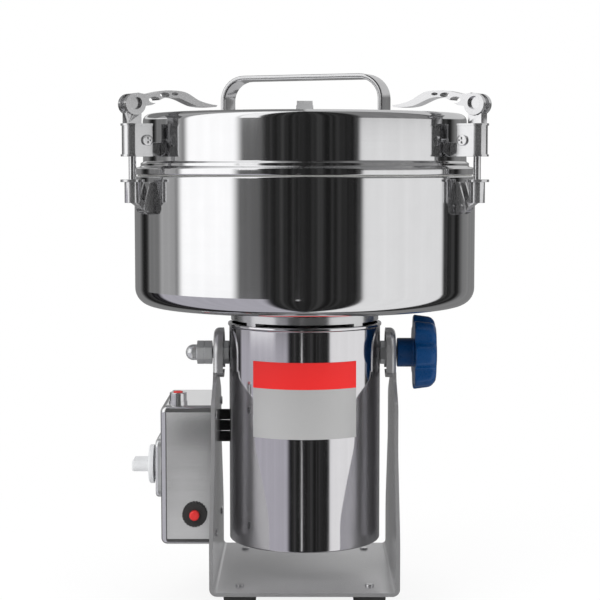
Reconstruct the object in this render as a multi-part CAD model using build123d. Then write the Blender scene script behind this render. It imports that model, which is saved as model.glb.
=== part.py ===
from build123d import *
import math
import os

# Driving dimensions of the grinder in millimetres. Z is up, the front faces -Y,
# and the origin lies on the standing plane under the motor axis.

# Fits and cuts
FIT = 0.1
RUN = 0.05
GAP = 0.3
OVERRUN = 1.0

# Base bracket: one U of bent sheet, with a hooded top on each arm
SHEET = 3.0
ARM_GAP = 9.5
BRACKET_DEPTH = 170.0
BRACKET_BEND = 6.0
ARM_WAIST = 104.0
ARM_SHOULDER_Z = 62.0
ARM_WAIST_Z = 128.0
ARM_NECK_Z = 165.0
HOOD_START_Z = 183.0
HOOD_RADIUS = 20.5
HOOD_DEPTH = 8.0
HOOD_ROUND = 4.5
SHOULDER_ROUND = 36.0
NECK_ROUND = 12.0
HOOD_FOOT_ROUND = 10.0
PIVOT_Z = 202.5

# Feet and the screws of the base
FOOT_DIAMETER = 27.0
FOOT_TAPER = 1.5
FOOT_HEIGHT = 20.0
FOOT_EDGE = 2.0
FOOT_INSET_X = 23.0
FOOT_INSET_Y = 23.0
FOOT_SCREW = 5.0
FOOT_SCREW_REACH = 12.0
SCREW_HEAD = 7.0
SCREW_HEAD_HIGH = 1.4
SCREW_HEAD_ROUND = 0.7
BOX_SCREW = 4.0
BOX_SCREW_REACH = 8.0

# Switch box on the left arm
BOX_REACH = 40.6
BOX_DEPTH = 100.0
BOX_LOW_Z = 52.8
BOX_HIGH_Z = 165.0
BOX_EDGE = 5.0
BOX_WALL = 1.5
BOX_RIM = 14.0

# Rotary switch, its plate and its knob
SWITCH_Z = 109.5
SWITCH_BODY = 30.0
SWITCH_BODY_DEEP = 24.0
SWITCH_STEM = 6.0
PLATE_SIDE = 48.0
PLATE_THICK = 6.5
PLATE_CORNER = 6.0
PLATE_CROWN = 2.5
KNOB_FLANGE = 32.0
KNOB_FLANGE_THICK = 4.0
KNOB_HUB = 13.0
KNOB_GRIP_LONG = 28.0
KNOB_GRIP_WIDE = 9.0
KNOB_REACH = 20.1
KNOB_STANDOFF = 2.5
KNOB_EDGE = 1.5

# Overload breaker on the front of the box
BREAKER_FROM_ARM = 13.3
BREAKER_Z = 78.0
BREAKER_RING = 19.8
BREAKER_RING_THICK = 4.0
BREAKER_BARREL = 12.0
BREAKER_BODY = 18.0
BREAKER_DEEP = 26.0
RESET_DIAMETER = 8.0
RESET_PROUD = 4.0
RESET_TRAVEL = 2.0
KNURL_COUNT = 24
KNURL_DIAMETER = 1.2

# Start button on top of the box
START_FROM_ARM = 26.8
START_Y = -40.0
BEZEL_DIAMETER = 14.8
BEZEL_HIGH = 10.0
BEZEL_FLANGE_THICK = 3.0
BEZEL_NECK = 13.6
START_DIAMETER = 8.0
START_PROUD = 1.0
START_TRAVEL = 2.0
START_BODY_DEEP = 20.0

# Cable gland behind the box and the lead between arm and motor
GLAND_HEX = 20.0
GLAND_HEX_THICK = 6.0
GLAND_DOME = 16.0
GLAND_LONG = 18.0
GLAND_BORE = 8.0
GLAND_Z = 90.0
LEAD_DIAMETER = 9.0
LEAD_COUNT = 3
LEAD_Z = 137.0
LEAD_Y = 30.0
LEAD_ROUND = 2.0

# Trunnions, nuts and the tilt knob
STUD_DIAMETER = 10.0
STUD_INNER = 6.0
STUD_LEFT_REACH = 21.0
STUD_RIGHT_REACH = 26.0
NUT_FLATS = 17.0
NUT_INNER_THICK = 5.0
NUT_OUTER_THICK = 6.5
NUT_SEAT = 1.5
DOME_HEX_THICK = 6.0
DOME_DIAMETER = 13.0
DOME_REACH = 9.5
TILT_HUB = 23.8
TILT_HUB_START = 1.5
TILT_HUB_LONG = 13.5
TILT_HEAD = 62.5
TILT_HEAD_END = 57.6
TILT_HEAD_LONG = 17.8
TILT_HEAD_ROUND = 5.0
TILT_RIM_ROUND = 1.5
TILT_LOBES = 7
TILT_VALLEY = 7.0
TILT_VALLEY_DEEP = 6.0
INSERT_DIAMETER = 14.0
INSERT_LONG = 20.0

# Motor housing
HOUSING_RADIUS = 62.0
HOUSING_WALL = 2.0
HOUSING_LOW_Z = 49.0
HOUSING_HIGH_Z = 228.0
HOUSING_LIP = 1.0
HOUSING_LIP_HIGH = 2.0
COVER_THICK = 2.0
COVER_RIM = 8.0
COVER_VENT_RADIUS = 30.0
COVER_VENT_SIDE = 6.0
COVER_VENTS = 12
COVER_SCREW = 4.0
COVER_SCREW_COUNT = 4

# Vent collar between motor and bowl
COLLAR_INSET = 1.5
COLLAR_WALL = 8.5
COLLAR_TOP_Z = 243.0
COLLAR_SLOT = 2.5
COLLAR_RING = 6.0
COLLAR_POST = 10.0
COLLAR_POSTS = 4
COLLAR_PLATE = 1.6
COLLAR_HUB = 18.0
BOWL_SCREW = 5.0
BOWL_SCREW_HEAD = 9.0
BOWL_SCREW_HEAD_HIGH = 2.5

# Motor inside the housing
SHAFT_DIAMETER = 12.0
SHAFT_LOW_Z = 58.0
BEARING_DIAMETER = 28.0
BEARING_THICK = 8.0
BELL_LOW_Z = 60.0
BELL_PLATE = 4.0
BELL_CUP = 36.0
STATOR_WALL = 22.0
STATOR_LOW_Z = 112.0
STATOR_LONG = 52.0
COIL_GAP = 6.0
COIL_WALL = 12.0
COIL_HIGH = 12.0
AIR_GAP = 1.5
ARMATURE_SLOTS = 12
ARMATURE_SLOT_WIDE = 3.0
ARMATURE_SLOT_DEEP = 8.0
WINDING_INSET = 6.5
WINDING_HIGH = 10.0
COMMUTATOR_RADIUS = 17.0
COMMUTATOR_LONG = 20.0
COMMUTATOR_LOW_Z = 78.0
BRUSH_SIDE = 8.0
BRUSH_WALL = 1.5
BRUSH_LONG = 20.0
FAN_GAP = 10.0
FAN_HUB = 14.0
FAN_LOW_Z = 190.0
FAN_PLATE = 2.0
FAN_BLADE_HIGH = 14.0
FAN_BLADE_THICK = 1.5
FAN_BLADES = 9

# Bowl and blades
BOWL_RADIUS = 138.5
BOWL_HIGH = 104.5
BOWL_WALL = 2.5
BOWL_CORNER = 14.0
BOWL_LIP = 1.0
SEAL_RADIUS = 15.0
SEAL_HIGH = 6.0
BLADE_TIP_GAP = 13.0
BLADE_WIDE = 28.0
BLADE_TIP_WIDE = 14.0
BLADE_THICK = 3.0
BLADE_UPPER_GAP = 36.0
SPACER_RADIUS = 11.0
SPACER_HIGH = 22.0
BLADE_NUT_FLATS = 24.0
BLADE_NUT_HIGH = 10.0
BLADE_NUT_DOME = 6.0

# Lid and its handle
LID_SEAM = 0.9
LID_BAND_INSET = 0.8
LID_BAND_HIGH = 5.6
LID_BEAD_HIGH = 4.7
LID_STEP = 6.3
LID_HIGH = 48.6
LID_WALL = 2.0
LID_EDGE = 6.0
GASKET_WALL = 5.0
GASKET_DROP = 7.0
HANDLE_LONG = 140.0
HANDLE_WIDE = 22.4
HANDLE_THICK = 4.0
HANDLE_HIGH = 32.0
HANDLE_BEND = 20.0
HANDLE_TURN = -21.0

# Rating plate on the housing
RATING_SPREAD = 82.0
RATING_LOW_Z = 140.0
RATING_HIGH_Z = 201.0
RATING_THICK = 0.6

# Three clamps round the lid. Each is drawn along +X and turned into place.
CLAMP_ANGLES = {"rear": 90.0, "left": 210.0, "right": 330.0}
ROD_OFFSET = 14.5
ROD_DIAMETER = 5.8
CAM_RISE = 6.5
CAM_RADIUS = 8.3
CAM_OFFSET = 1.0
CAM_WIDE = 15.5
BARREL_DIAMETER = 10.0
BARREL_INSET = 3.8
LEVER_LONG = 70.0
LEVER_WIDE = 14.0
LEVER_TOP_SHARES = ((0.04, 0.11), (0.125, 0.098), (0.328, 0.137), (0.447, 0.142), (0.627, 0.117),
                    (0.746, 0.052), (0.866, 0.011), (1.0, -0.008))
LEVER_LOW_SHARES = ((0.985, -0.028), (0.842, -0.032), (0.722, -0.016), (0.627, 0.021), (0.507, 0.063),
                    (0.4, 0.068), (0.305, 0.042), (0.209, -0.016), (0.125, -0.03), (0.04, -0.03))
LEVER_HOLE_SHARES = ((0.225, 0.035, 0.13, 0.07), (0.352, 0.092, 0.115, 0.05), (0.475, 0.104, 0.08, 0.032))
SADDLE_CLEAR = 0.45
SADDLE_RISE = 2.3
YOKE_WIDE = 16.0
YOKE_WALL = 2.5
YOKE_PLATE = 2.5
YOKE_HIGH = 25.2
YOKE_INNER = 1.0
YOKE_RIM = 0.9
YOKE_RIM_HIGH = 1.6
YOKE_BELOW_TOP = 15.7
YOKE_PLATE_START = 8.5
HOOK_SCREW = 4.0
HOOK_FROM_ROD = 8.7
HOOK_ABOVE_YOKE = 12.4
HOOK_HEAD = 8.4
HOOK_HEAD_HIGH = 2.2
HOOK_CROSS_LONG = 5.0
HOOK_CROSS_WIDE = 1.2
HOOK_CROSS_DEEP = 1.3
LUG_NOSE = 3.0
LUG_INWARD = 2.8
LUG_WIDE = 8.0
LUG_ROOT = 9.0
LINK_PIVOT_OFFSET = 3.7
LINK_PIVOT_DROP = 24.7
LINK_EYE = 3.3
LINK_EYE_WIDE = 8.4
LINK_CUP = 6.2
LINK_CUP_HIGH = 16.0
LINK_CUP_ABOVE = 4.2
LINK_FLANGE = 9.3
LINK_FLANGE_THICK = 2.0
ROD_IN_CUP = 12.0
HINGE_PIN = 3.4
HINGE_HEAD = 6.0
HINGE_HEAD_THICK = 1.2
EAR_THICK = 2.5
EAR_ROUND = 4.8
EAR_HIGH = 20.2
EAR_PLATE = 2.4
EAR_PLATE_LOW = 7.2

# Places that follow from the sizes above
ARM_IN = HOUSING_RADIUS + ARM_GAP
ARM_OUT = ARM_IN + SHEET
FLOOR_TOP_Z = FOOT_HEIGHT + SHEET
BOX_FACE_X = -(ARM_OUT + BOX_REACH)
BOX_FRONT_Y = -BOX_DEPTH / 2
HOUSING_INNER = HOUSING_RADIUS - HOUSING_WALL
COLLAR_RADIUS = HOUSING_RADIUS - COLLAR_INSET
COLLAR_INNER = COLLAR_RADIUS - COLLAR_WALL
STATOR_INNER = HOUSING_INNER - STATOR_WALL
COIL_OUTER = HOUSING_INNER - COIL_GAP
COIL_INNER = COIL_OUTER - COIL_WALL
ARMATURE_RADIUS = STATOR_INNER - AIR_GAP
WINDING_RADIUS = ARMATURE_RADIUS - WINDING_INSET
FAN_RADIUS = HOUSING_INNER - FAN_GAP
BLADE_LONG = 2 * (BOWL_RADIUS - BOWL_WALL - BLADE_TIP_GAP)
BLADE_UPPER_LONG = 2 * (BOWL_RADIUS - BOWL_WALL - BLADE_UPPER_GAP)
LID_BAND_RADIUS = BOWL_RADIUS - LID_BAND_INSET
LID_RADIUS = LID_BAND_RADIUS - LID_STEP
BOWL_TOP_Z = COLLAR_TOP_Z + BOWL_HIGH
BOWL_FLOOR_Z = COLLAR_TOP_Z + BOWL_WALL
LID_LOW_Z = BOWL_TOP_Z + LID_SEAM
LID_TOP_Z = LID_LOW_Z + LID_HIGH
SHAFT_RADIUS = SHAFT_DIAMETER / 2
ROD_R = BOWL_RADIUS + ROD_OFFSET
CAM_Z = LID_TOP_Z + CAM_RISE
LINK_R = BOWL_RADIUS + LINK_PIVOT_OFFSET
LINK_Z = BOWL_TOP_Z - LINK_PIVOT_DROP
LINK_CUP_Z = LINK_Z + LINK_CUP_ABOVE
YOKE_TOP_Z = CAM_Z - YOKE_BELOW_TOP
YOKE_LOW_Z = YOKE_TOP_Z - YOKE_HIGH
YOKE_IN_R = BOWL_RADIUS + YOKE_INNER
HOOK_R = ROD_R - HOOK_FROM_ROD
HOOK_Z = YOKE_LOW_Z + HOOK_ABOVE_YOKE
ON_BASE = (Align.CENTER, Align.CENTER, Align.MIN)
AT_CORNER = (Align.MIN, Align.MIN, Align.MIN)


def post(radius, low, high, x=0, y=0):
    """A round bar that stands from one height to another."""
    return Pos(x, y, low) * Cylinder(radius, high - low, align=ON_BASE)


def pipe(outer, inner, low, high, x=0, y=0):
    """A standing tube."""
    return post(outer, low, high, x, y) - post(inner, low - OVERRUN, high + OVERRUN, x, y)


def bar_x(radius, start, end, y, z):
    """A round bar along X."""
    return Pos(start, y, z) * Rot(0, 90, 0) * Cylinder(radius, end - start, align=ON_BASE)


def bar_y(radius, start, end, x, z):
    """A round bar along Y."""
    return Pos(x, start, z) * Rot(-90, 0, 0) * Cylinder(radius, end - start, align=ON_BASE)


def hex_x(flats, start, end, y, z):
    """A hexagonal bar along X."""
    face = RegularPolygon(flats / 2, 6, major_radius=False)
    return Pos(start, y, z) * Rot(0, 90, 0) * extrude(face, end - start)


def block(low, high):
    """A box between two corners."""
    size = [b - a for a, b in zip(low, high)]
    return Pos(*low) * Box(*size, align=AT_CORNER)


def turned(outline):
    """A solid turned about Z from an outline of radius and height."""
    return revolve(Plane.XZ * make_face(outline), Axis.Z)


def around(shape, count, start=0.0):
    """Copies of a shape, evenly turned about Z."""
    return [Rot(0, 0, start + 360 * i / count) * shape for i in range(count)]


def rounded(shape, axis, radius, last):
    """Rounds the edges of the end face of a shape along an axis."""
    faces = shape.faces().sort_by(axis)
    return fillet(faces[-1 if last else 0].edges(), radius)


def rounded_away(shape, radius):
    """Rounds every edge of a box but those of its face towards +X."""
    near = shape.faces().sort_by(Axis.X)[-1].edges()
    return fillet([edge for edge in shape.edges() if edge not in near], radius)


def write(name, *solids):
    """Writes one node as a STEP file."""
    shape = solids[0] if len(solids) == 1 else Compound(children=list(solids))
    shape.label = name
    export_step(shape, f"parts/{name}.step")


def foot_places():
    """The four places of the feet."""
    x = ARM_OUT - FOOT_INSET_X
    y = BRACKET_DEPTH / 2 - FOOT_INSET_Y
    return [(-x, -y), (x, -y), (-x, y), (x, y)]


def box_screw_places():
    """The four places (y, z) of the screws that hold the switch box."""
    y = BOX_DEPTH / 2 - BOX_RIM / 2 - BOX_WALL
    low = BOX_LOW_Z + BOX_RIM / 2 + BOX_WALL
    high = BOX_HIGH_Z - BOX_RIM / 2 - BOX_WALL
    return [(-y, low), (y, low), (-y, high), (y, high)]


def arm_outline():
    """Half of an arm's side view, mirrored into the whole outline."""
    half = BRACKET_DEPTH / 2
    points = [
        (0, FOOT_HEIGHT),
        (half, FOOT_HEIGHT),
        (half, ARM_SHOULDER_Z),
        (ARM_WAIST / 2, ARM_WAIST_Z),
        (ARM_WAIST / 2, ARM_NECK_Z),
        (HOOD_RADIUS, HOOD_START_Z),
        (HOOD_RADIUS, PIVOT_Z),
    ]
    radii = [0, SHOULDER_ROUND, SHOULDER_ROUND, NECK_ROUND, HOOD_FOOT_ROUND]
    side = FilletPolyline(*points, radius=radii)
    crown = ThreePointArc((HOOD_RADIUS, PIVOT_Z), (0, PIVOT_Z + HOOD_RADIUS), (-HOOD_RADIUS, PIVOT_Z))
    return make_face(side.edges() + crown.edges() + mirror(side, about=Plane.YZ).edges())


def hood_lip():
    """The turned-in rim round the top of the right arm."""
    low = HOOD_START_Z + HOOD_FOOT_ROUND / 2
    outer = bar_x(HOOD_RADIUS, ARM_OUT - HOOD_DEPTH, ARM_OUT, 0, PIVOT_Z)
    outer += block((ARM_OUT - HOOD_DEPTH, -HOOD_RADIUS, low), (ARM_OUT, HOOD_RADIUS, PIVOT_Z))
    crown = outer.faces().sort_by(Axis.X)[-1].edges().filter_by(lambda e: e.center().Z > low + OVERRUN)
    outer = fillet(crown, HOOD_ROUND)
    inside = HOOD_RADIUS - SHEET
    start = ARM_OUT - HOOD_DEPTH - OVERRUN
    inner = bar_x(inside, start, ARM_IN, 0, PIVOT_Z)
    inner += block((start, -inside, low - OVERRUN), (ARM_IN, inside, PIVOT_Z))
    return outer - inner


def base_bracket():
    """The bent sheet that carries the grinder."""
    top = PIVOT_Z + HOOD_RADIUS
    outer = block((-ARM_OUT, -BRACKET_DEPTH / 2, FOOT_HEIGHT), (ARM_OUT, BRACKET_DEPTH / 2, top))
    outer = fillet(outer.faces().sort_by(Axis.Z)[0].edges().filter_by(Axis.Y), BRACKET_BEND)
    inner = block((-ARM_IN, -BRACKET_DEPTH, FLOOR_TOP_Z), (ARM_IN, BRACKET_DEPTH, top + OVERRUN))
    inner = fillet(inner.faces().sort_by(Axis.Z)[0].edges().filter_by(Axis.Y), BRACKET_BEND - SHEET)
    side = extrude(Plane.YZ * arm_outline(), ARM_OUT + OVERRUN, both=True)
    sheet = (outer - inner) & side
    low = HOOD_START_Z + HOOD_FOOT_ROUND / 2
    rim = block((ARM_IN - OVERRUN, -BRACKET_DEPTH, low), (ARM_OUT + OVERRUN, BRACKET_DEPTH, top + OVERRUN))
    sheet = sheet - rim - mirror(rim, about=Plane.YZ)
    lip = hood_lip()
    sheet = sheet + lip + mirror(lip, about=Plane.YZ)
    for x, y in foot_places():
        sheet -= post(FOOT_SCREW / 2 + FIT, FOOT_HEIGHT - OVERRUN, FLOOR_TOP_Z + OVERRUN, x, y)
    for y, z in box_screw_places():
        sheet -= bar_x(BOX_SCREW / 2 + FIT, -ARM_OUT - OVERRUN, -ARM_IN + OVERRUN, y, z)
    sheet -= bar_x(STUD_DIAMETER / 2 + RUN, -ARM_OUT - OVERRUN, ARM_OUT + OVERRUN, 0, PIVOT_Z)
    for z in lead_heights():
        sheet -= bar_x(LEAD_DIAMETER / 2 + FIT, -ARM_OUT - OVERRUN, -ARM_IN + OVERRUN, LEAD_Y, z)
    return sheet


def rubber_feet():
    """Four tapered feet, each bored for its screw."""
    feet = []
    for x, y in foot_places():
        low_radius = FOOT_DIAMETER / 2 - FOOT_TAPER
        foot = Pos(x, y, 0) * Cone(low_radius, FOOT_DIAMETER / 2, FOOT_HEIGHT, align=ON_BASE)
        foot = rounded(foot, Axis.Z, FOOT_EDGE, False)
        bore_low = FOOT_HEIGHT - FOOT_SCREW_REACH
        feet.append(foot - post(FOOT_SCREW / 2 + FIT, bore_low, FOOT_HEIGHT + OVERRUN, x, y))
    return feet


def base_screws():
    """Screws of the feet and of the switch box."""
    screws = []
    for x, y in foot_places():
        head = post(SCREW_HEAD / 2, FLOOR_TOP_Z, FLOOR_TOP_Z + SCREW_HEAD_HIGH, x, y)
        head = rounded(head, Axis.Z, SCREW_HEAD_ROUND, True)
        screws.append(head + post(FOOT_SCREW / 2, FOOT_HEIGHT - FOOT_SCREW_REACH, FLOOR_TOP_Z, x, y))
    for y, z in box_screw_places():
        head = bar_x(SCREW_HEAD / 2, -ARM_IN, -ARM_IN + SCREW_HEAD_HIGH, y, z)
        head = rounded(head, Axis.X, SCREW_HEAD_ROUND, True)
        screws.append(head + bar_x(BOX_SCREW / 2, -ARM_IN - BOX_SCREW_REACH, -ARM_IN, y, z))
    return screws


def switch_box():
    """The folded sheet box on the left arm, open inside a rim against it."""
    low = (BOX_FACE_X, BOX_FRONT_Y, BOX_LOW_Z)
    high = (-ARM_OUT, -BOX_FRONT_Y, BOX_HIGH_Z)
    box = rounded_away(block(low, high), BOX_EDGE)
    hollow = block([v + BOX_WALL for v in low], [v - BOX_WALL for v in high])
    box -= rounded_away(hollow, BOX_EDGE - BOX_WALL)
    rim = BOX_RIM + BOX_WALL
    mouth_low = (-ARM_OUT - BOX_WALL - OVERRUN, BOX_FRONT_Y + rim, BOX_LOW_Z + rim)
    mouth_high = (-ARM_OUT + OVERRUN, -BOX_FRONT_Y - BOX_RIM - BOX_WALL, BOX_HIGH_Z - BOX_RIM - BOX_WALL)
    box -= block(mouth_low, mouth_high)
    for y, z in box_screw_places():
        box -= bar_x(BOX_SCREW / 2 + FIT, -ARM_OUT - BOX_WALL - OVERRUN, -ARM_OUT + OVERRUN, y, z)
    box -= bar_x(SWITCH_STEM, BOX_FACE_X - OVERRUN, BOX_FACE_X + BOX_WALL + OVERRUN, 0, SWITCH_Z)
    front = (BOX_FRONT_Y - OVERRUN, BOX_FRONT_Y + BOX_WALL + OVERRUN)
    box -= bar_y(BREAKER_BARREL / 2 + FIT, *front, breaker_x(), BREAKER_Z)
    box -= bar_y(BREAKER_BARREL / 2 + FIT, -front[1], -front[0], gland_x(), GLAND_Z)
    roof = (BOX_HIGH_Z - BOX_WALL - OVERRUN, BOX_HIGH_Z + OVERRUN)
    box -= post(BEZEL_NECK / 2 + FIT, *roof, start_x(), START_Y)
    return box


def breaker_x():
    """The breaker's place across the box."""
    return -ARM_OUT - BREAKER_FROM_ARM


def start_x():
    """The start button's place across the box."""
    return -ARM_OUT - START_FROM_ARM


def gland_x():
    """The gland's place, in the middle of the box."""
    return -ARM_OUT - BOX_REACH / 2


def rotary_switch():
    """The switch body behind the box face, with its bush through the face."""
    inner_x = BOX_FACE_X + BOX_WALL
    half = SWITCH_BODY / 2
    body = block((inner_x, -half, SWITCH_Z - half), (inner_x + SWITCH_BODY_DEEP, half, SWITCH_Z + half))
    body = fillet(body.edges().filter_by(Axis.X), PLATE_CORNER / 2)
    bush = bar_x(SWITCH_STEM - FIT, BOX_FACE_X - PLATE_THICK, inner_x, 0, SWITCH_Z)
    return body + bush - switch_stem_bore()


def switch_stem_bore():
    """The bore that the knob's stem turns in."""
    radius = SWITCH_STEM / 2 + RUN
    return bar_x(radius, BOX_FACE_X - PLATE_THICK - OVERRUN, BOX_FACE_X + SWITCH_BODY_DEEP / 2, 0, SWITCH_Z)


def switch_plate():
    """The square crowned plate round the rotary switch."""
    half = PLATE_SIDE / 2
    plate = block((BOX_FACE_X - PLATE_THICK, -half, SWITCH_Z - half), (BOX_FACE_X, half, SWITCH_Z + half))
    plate = fillet(plate.edges().filter_by(Axis.X), PLATE_CORNER)
    plate = rounded(plate, Axis.X, PLATE_CROWN, False)
    return plate - bar_x(SWITCH_STEM, BOX_FACE_X - PLATE_THICK - OVERRUN, BOX_FACE_X + OVERRUN, 0, SWITCH_Z)


def switch_knob():
    """The turning knob: flange, hub, bar grip and stem."""
    seat = BOX_FACE_X - PLATE_THICK - GAP
    face = seat - KNOB_STANDOFF
    flange = bar_x(KNOB_FLANGE / 2, face - KNOB_FLANGE_THICK, face, 0, SWITCH_Z)
    flange = rounded(flange, Axis.X, KNOB_EDGE, False)
    tip = seat - KNOB_REACH
    half = KNOB_GRIP_WIDE / 2
    grip = block((tip, -KNOB_GRIP_LONG / 2, SWITCH_Z - half), (face, KNOB_GRIP_LONG / 2, SWITCH_Z + half))
    grip = fillet(grip.edges().filter_by(Axis.X), half - RUN)
    grip = rounded(grip, Axis.X, KNOB_EDGE, False)
    hub = bar_x(KNOB_HUB / 2, face - KNOB_FLANGE_THICK - KNOB_EDGE, seat, 0, SWITCH_Z)
    stem = bar_x(SWITCH_STEM / 2, seat, BOX_FACE_X, 0, SWITCH_Z)
    return flange + grip + hub + stem


def breaker_body():
    """The breaker behind the front wall, with its threaded barrel through it."""
    x = breaker_x()
    inside = BOX_FRONT_Y + BOX_WALL
    half = BREAKER_BODY / 2
    body = block((x - half, inside, BREAKER_Z - half), (x + half, inside + BREAKER_DEEP, BREAKER_Z + half))
    barrel = bar_y(BREAKER_BARREL / 2, BOX_FRONT_Y - BREAKER_RING_THICK, inside, x, BREAKER_Z)
    bore_start = BOX_FRONT_Y - BREAKER_RING_THICK - OVERRUN
    bore = bar_y(RESET_DIAMETER / 2 + RUN, bore_start, reset_end_y(), x, BREAKER_Z)
    return body + barrel - bore


def reset_end_y():
    """Where the reset button's bore ends behind the wall."""
    return BOX_FRONT_Y + BOX_WALL + RESET_TRAVEL + GAP


def breaker_ring():
    """The knurled nut round the breaker's barrel."""
    x = breaker_x()
    ring = bar_y(BREAKER_RING / 2, BOX_FRONT_Y - BREAKER_RING_THICK, BOX_FRONT_Y, x, BREAKER_Z)
    start = BOX_FRONT_Y - BREAKER_RING_THICK - OVERRUN
    end = BOX_FRONT_Y + OVERRUN
    ring -= bar_y(BREAKER_BARREL / 2 + FIT, start, end, x, BREAKER_Z)
    for i in range(KNURL_COUNT):
        turn = 2 * math.pi * i / KNURL_COUNT
        groove_x = x + BREAKER_RING / 2 * math.cos(turn)
        groove_z = BREAKER_Z + BREAKER_RING / 2 * math.sin(turn)
        ring -= bar_y(KNURL_DIAMETER / 2, start, end, groove_x, groove_z)
    return ring


def reset_button():
    """The breaker's push button."""
    start = BOX_FRONT_Y - BREAKER_RING_THICK - RESET_PROUD
    button = bar_y(RESET_DIAMETER / 2, start, reset_end_y() - RESET_TRAVEL - GAP, breaker_x(), BREAKER_Z)
    return rounded(button, Axis.Y, KNOB_EDGE, False)


def button_bezel():
    """The chromed bezel of the start button, stepped to a neck through the roof."""
    x = start_x()
    flange = post(BEZEL_DIAMETER / 2, BOX_HIGH_Z, BOX_HIGH_Z + BEZEL_FLANGE_THICK, x, START_Y)
    collar = post(BEZEL_NECK / 2, BOX_HIGH_Z - BOX_WALL, BOX_HIGH_Z + BEZEL_HIGH, x, START_Y)
    collar = rounded(collar, Axis.Z, KNOB_EDGE / 2, True)
    bore_low = BOX_HIGH_Z - BOX_WALL - OVERRUN
    bore = post(START_DIAMETER / 2 + RUN, bore_low, BOX_HIGH_Z + BEZEL_HIGH + OVERRUN, x, START_Y)
    return flange + collar - bore


def start_switch():
    """The switch body under the start button."""
    top = BOX_HIGH_Z - BOX_WALL
    body = post(BEZEL_NECK / 2, top - START_BODY_DEEP, top, start_x(), START_Y)
    floor = start_low_z() - START_TRAVEL - GAP
    return body - post(START_DIAMETER / 2 + RUN, floor, top + OVERRUN, start_x(), START_Y)


def start_low_z():
    """The lower end of the start button at rest."""
    return BOX_HIGH_Z - BOX_WALL - START_TRAVEL


def start_button():
    """The red push button on the box."""
    top = BOX_HIGH_Z + BEZEL_HIGH + START_PROUD
    button = post(START_DIAMETER / 2, start_low_z(), top, start_x(), START_Y)
    return rounded(button, Axis.Z, KNOB_EDGE, True)


def power_gland():
    """The cable gland on the back of the box, hexagon and dome, with its bore."""
    back = -BOX_FRONT_Y
    face = RegularPolygon(GLAND_HEX / 2, 6, major_radius=False)
    nut = Pos(gland_x(), back, GLAND_Z) * Rot(-90, 0, 0) * extrude(face, GLAND_HEX_THICK)
    dome = bar_y(GLAND_DOME / 2, back + GLAND_HEX_THICK, back + GLAND_LONG, gland_x(), GLAND_Z)
    dome = rounded(dome, Axis.Y, KNOB_EDGE, True)
    neck = bar_y(BREAKER_BARREL / 2, back - BOX_WALL, back, gland_x(), GLAND_Z)
    start = back - BOX_WALL - OVERRUN
    bore = bar_y(GLAND_BORE / 2, start, back + GLAND_LONG + OVERRUN, gland_x(), GLAND_Z)
    return nut + dome + neck - bore


def lead_heights():
    """The heights of the sleeved cores of the motor lead, one over the other."""
    middle = (LEAD_COUNT - 1) / 2
    return [LEAD_Z + (i - middle) * (LEAD_DIAMETER + GAP) for i in range(LEAD_COUNT)]


def motor_lead():
    """The sleeved cores that cross from the arm to the motor housing, clear of it at every tilt."""
    cores = []
    for z in lead_heights():
        core = bar_x(LEAD_DIAMETER / 2, -ARM_OUT, -HOUSING_RADIUS - GAP, LEAD_Y, z)
        cores.append(rounded(core, Axis.X, LEAD_ROUND, True))
    return cores


def stud_solids():
    """The two threaded trunnions, from inside the housing through the arms."""
    inner = HOUSING_INNER - STUD_INNER
    left = bar_x(STUD_DIAMETER / 2, -ARM_OUT - STUD_LEFT_REACH, -inner, 0, PIVOT_Z)
    right = bar_x(STUD_DIAMETER / 2, inner, ARM_OUT + STUD_RIGHT_REACH, 0, PIVOT_Z)
    return [left, right]


def stud_bore(start, end):
    """The bore that a trunnion passes through."""
    return bar_x(STUD_DIAMETER / 2 + RUN, start - OVERRUN, end + OVERRUN, 0, PIVOT_Z)


def trunnion_nuts():
    """The nuts against the housing on both sides, and the lock nut outside the left arm."""
    near = HOUSING_RADIUS + RUN
    far = near + NUT_INNER_THICK
    outer = -ARM_OUT - NUT_SEAT
    spans = [(near, far), (-far, -near), (outer - NUT_OUTER_THICK, outer)]
    return [hex_x(NUT_FLATS, a, b, 0, PIVOT_Z) - stud_bore(a, b) for a, b in spans]


def dome_nut():
    """The domed cap nut at the left end."""
    seat = -ARM_OUT - NUT_SEAT - NUT_OUTER_THICK
    end = seat - DOME_HEX_THICK
    dome = bar_x(DOME_DIAMETER / 2, end - DOME_REACH, end, 0, PIVOT_Z)
    dome = rounded(dome, Axis.X, DOME_DIAMETER / 2 - FIT, False)
    stud_end = -ARM_OUT - STUD_LEFT_REACH
    bore = bar_x(STUD_DIAMETER / 2 + RUN, stud_end - FIT, seat + OVERRUN, 0, PIVOT_Z)
    return hex_x(NUT_FLATS, end, seat, 0, PIVOT_Z) + dome - bore


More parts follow.
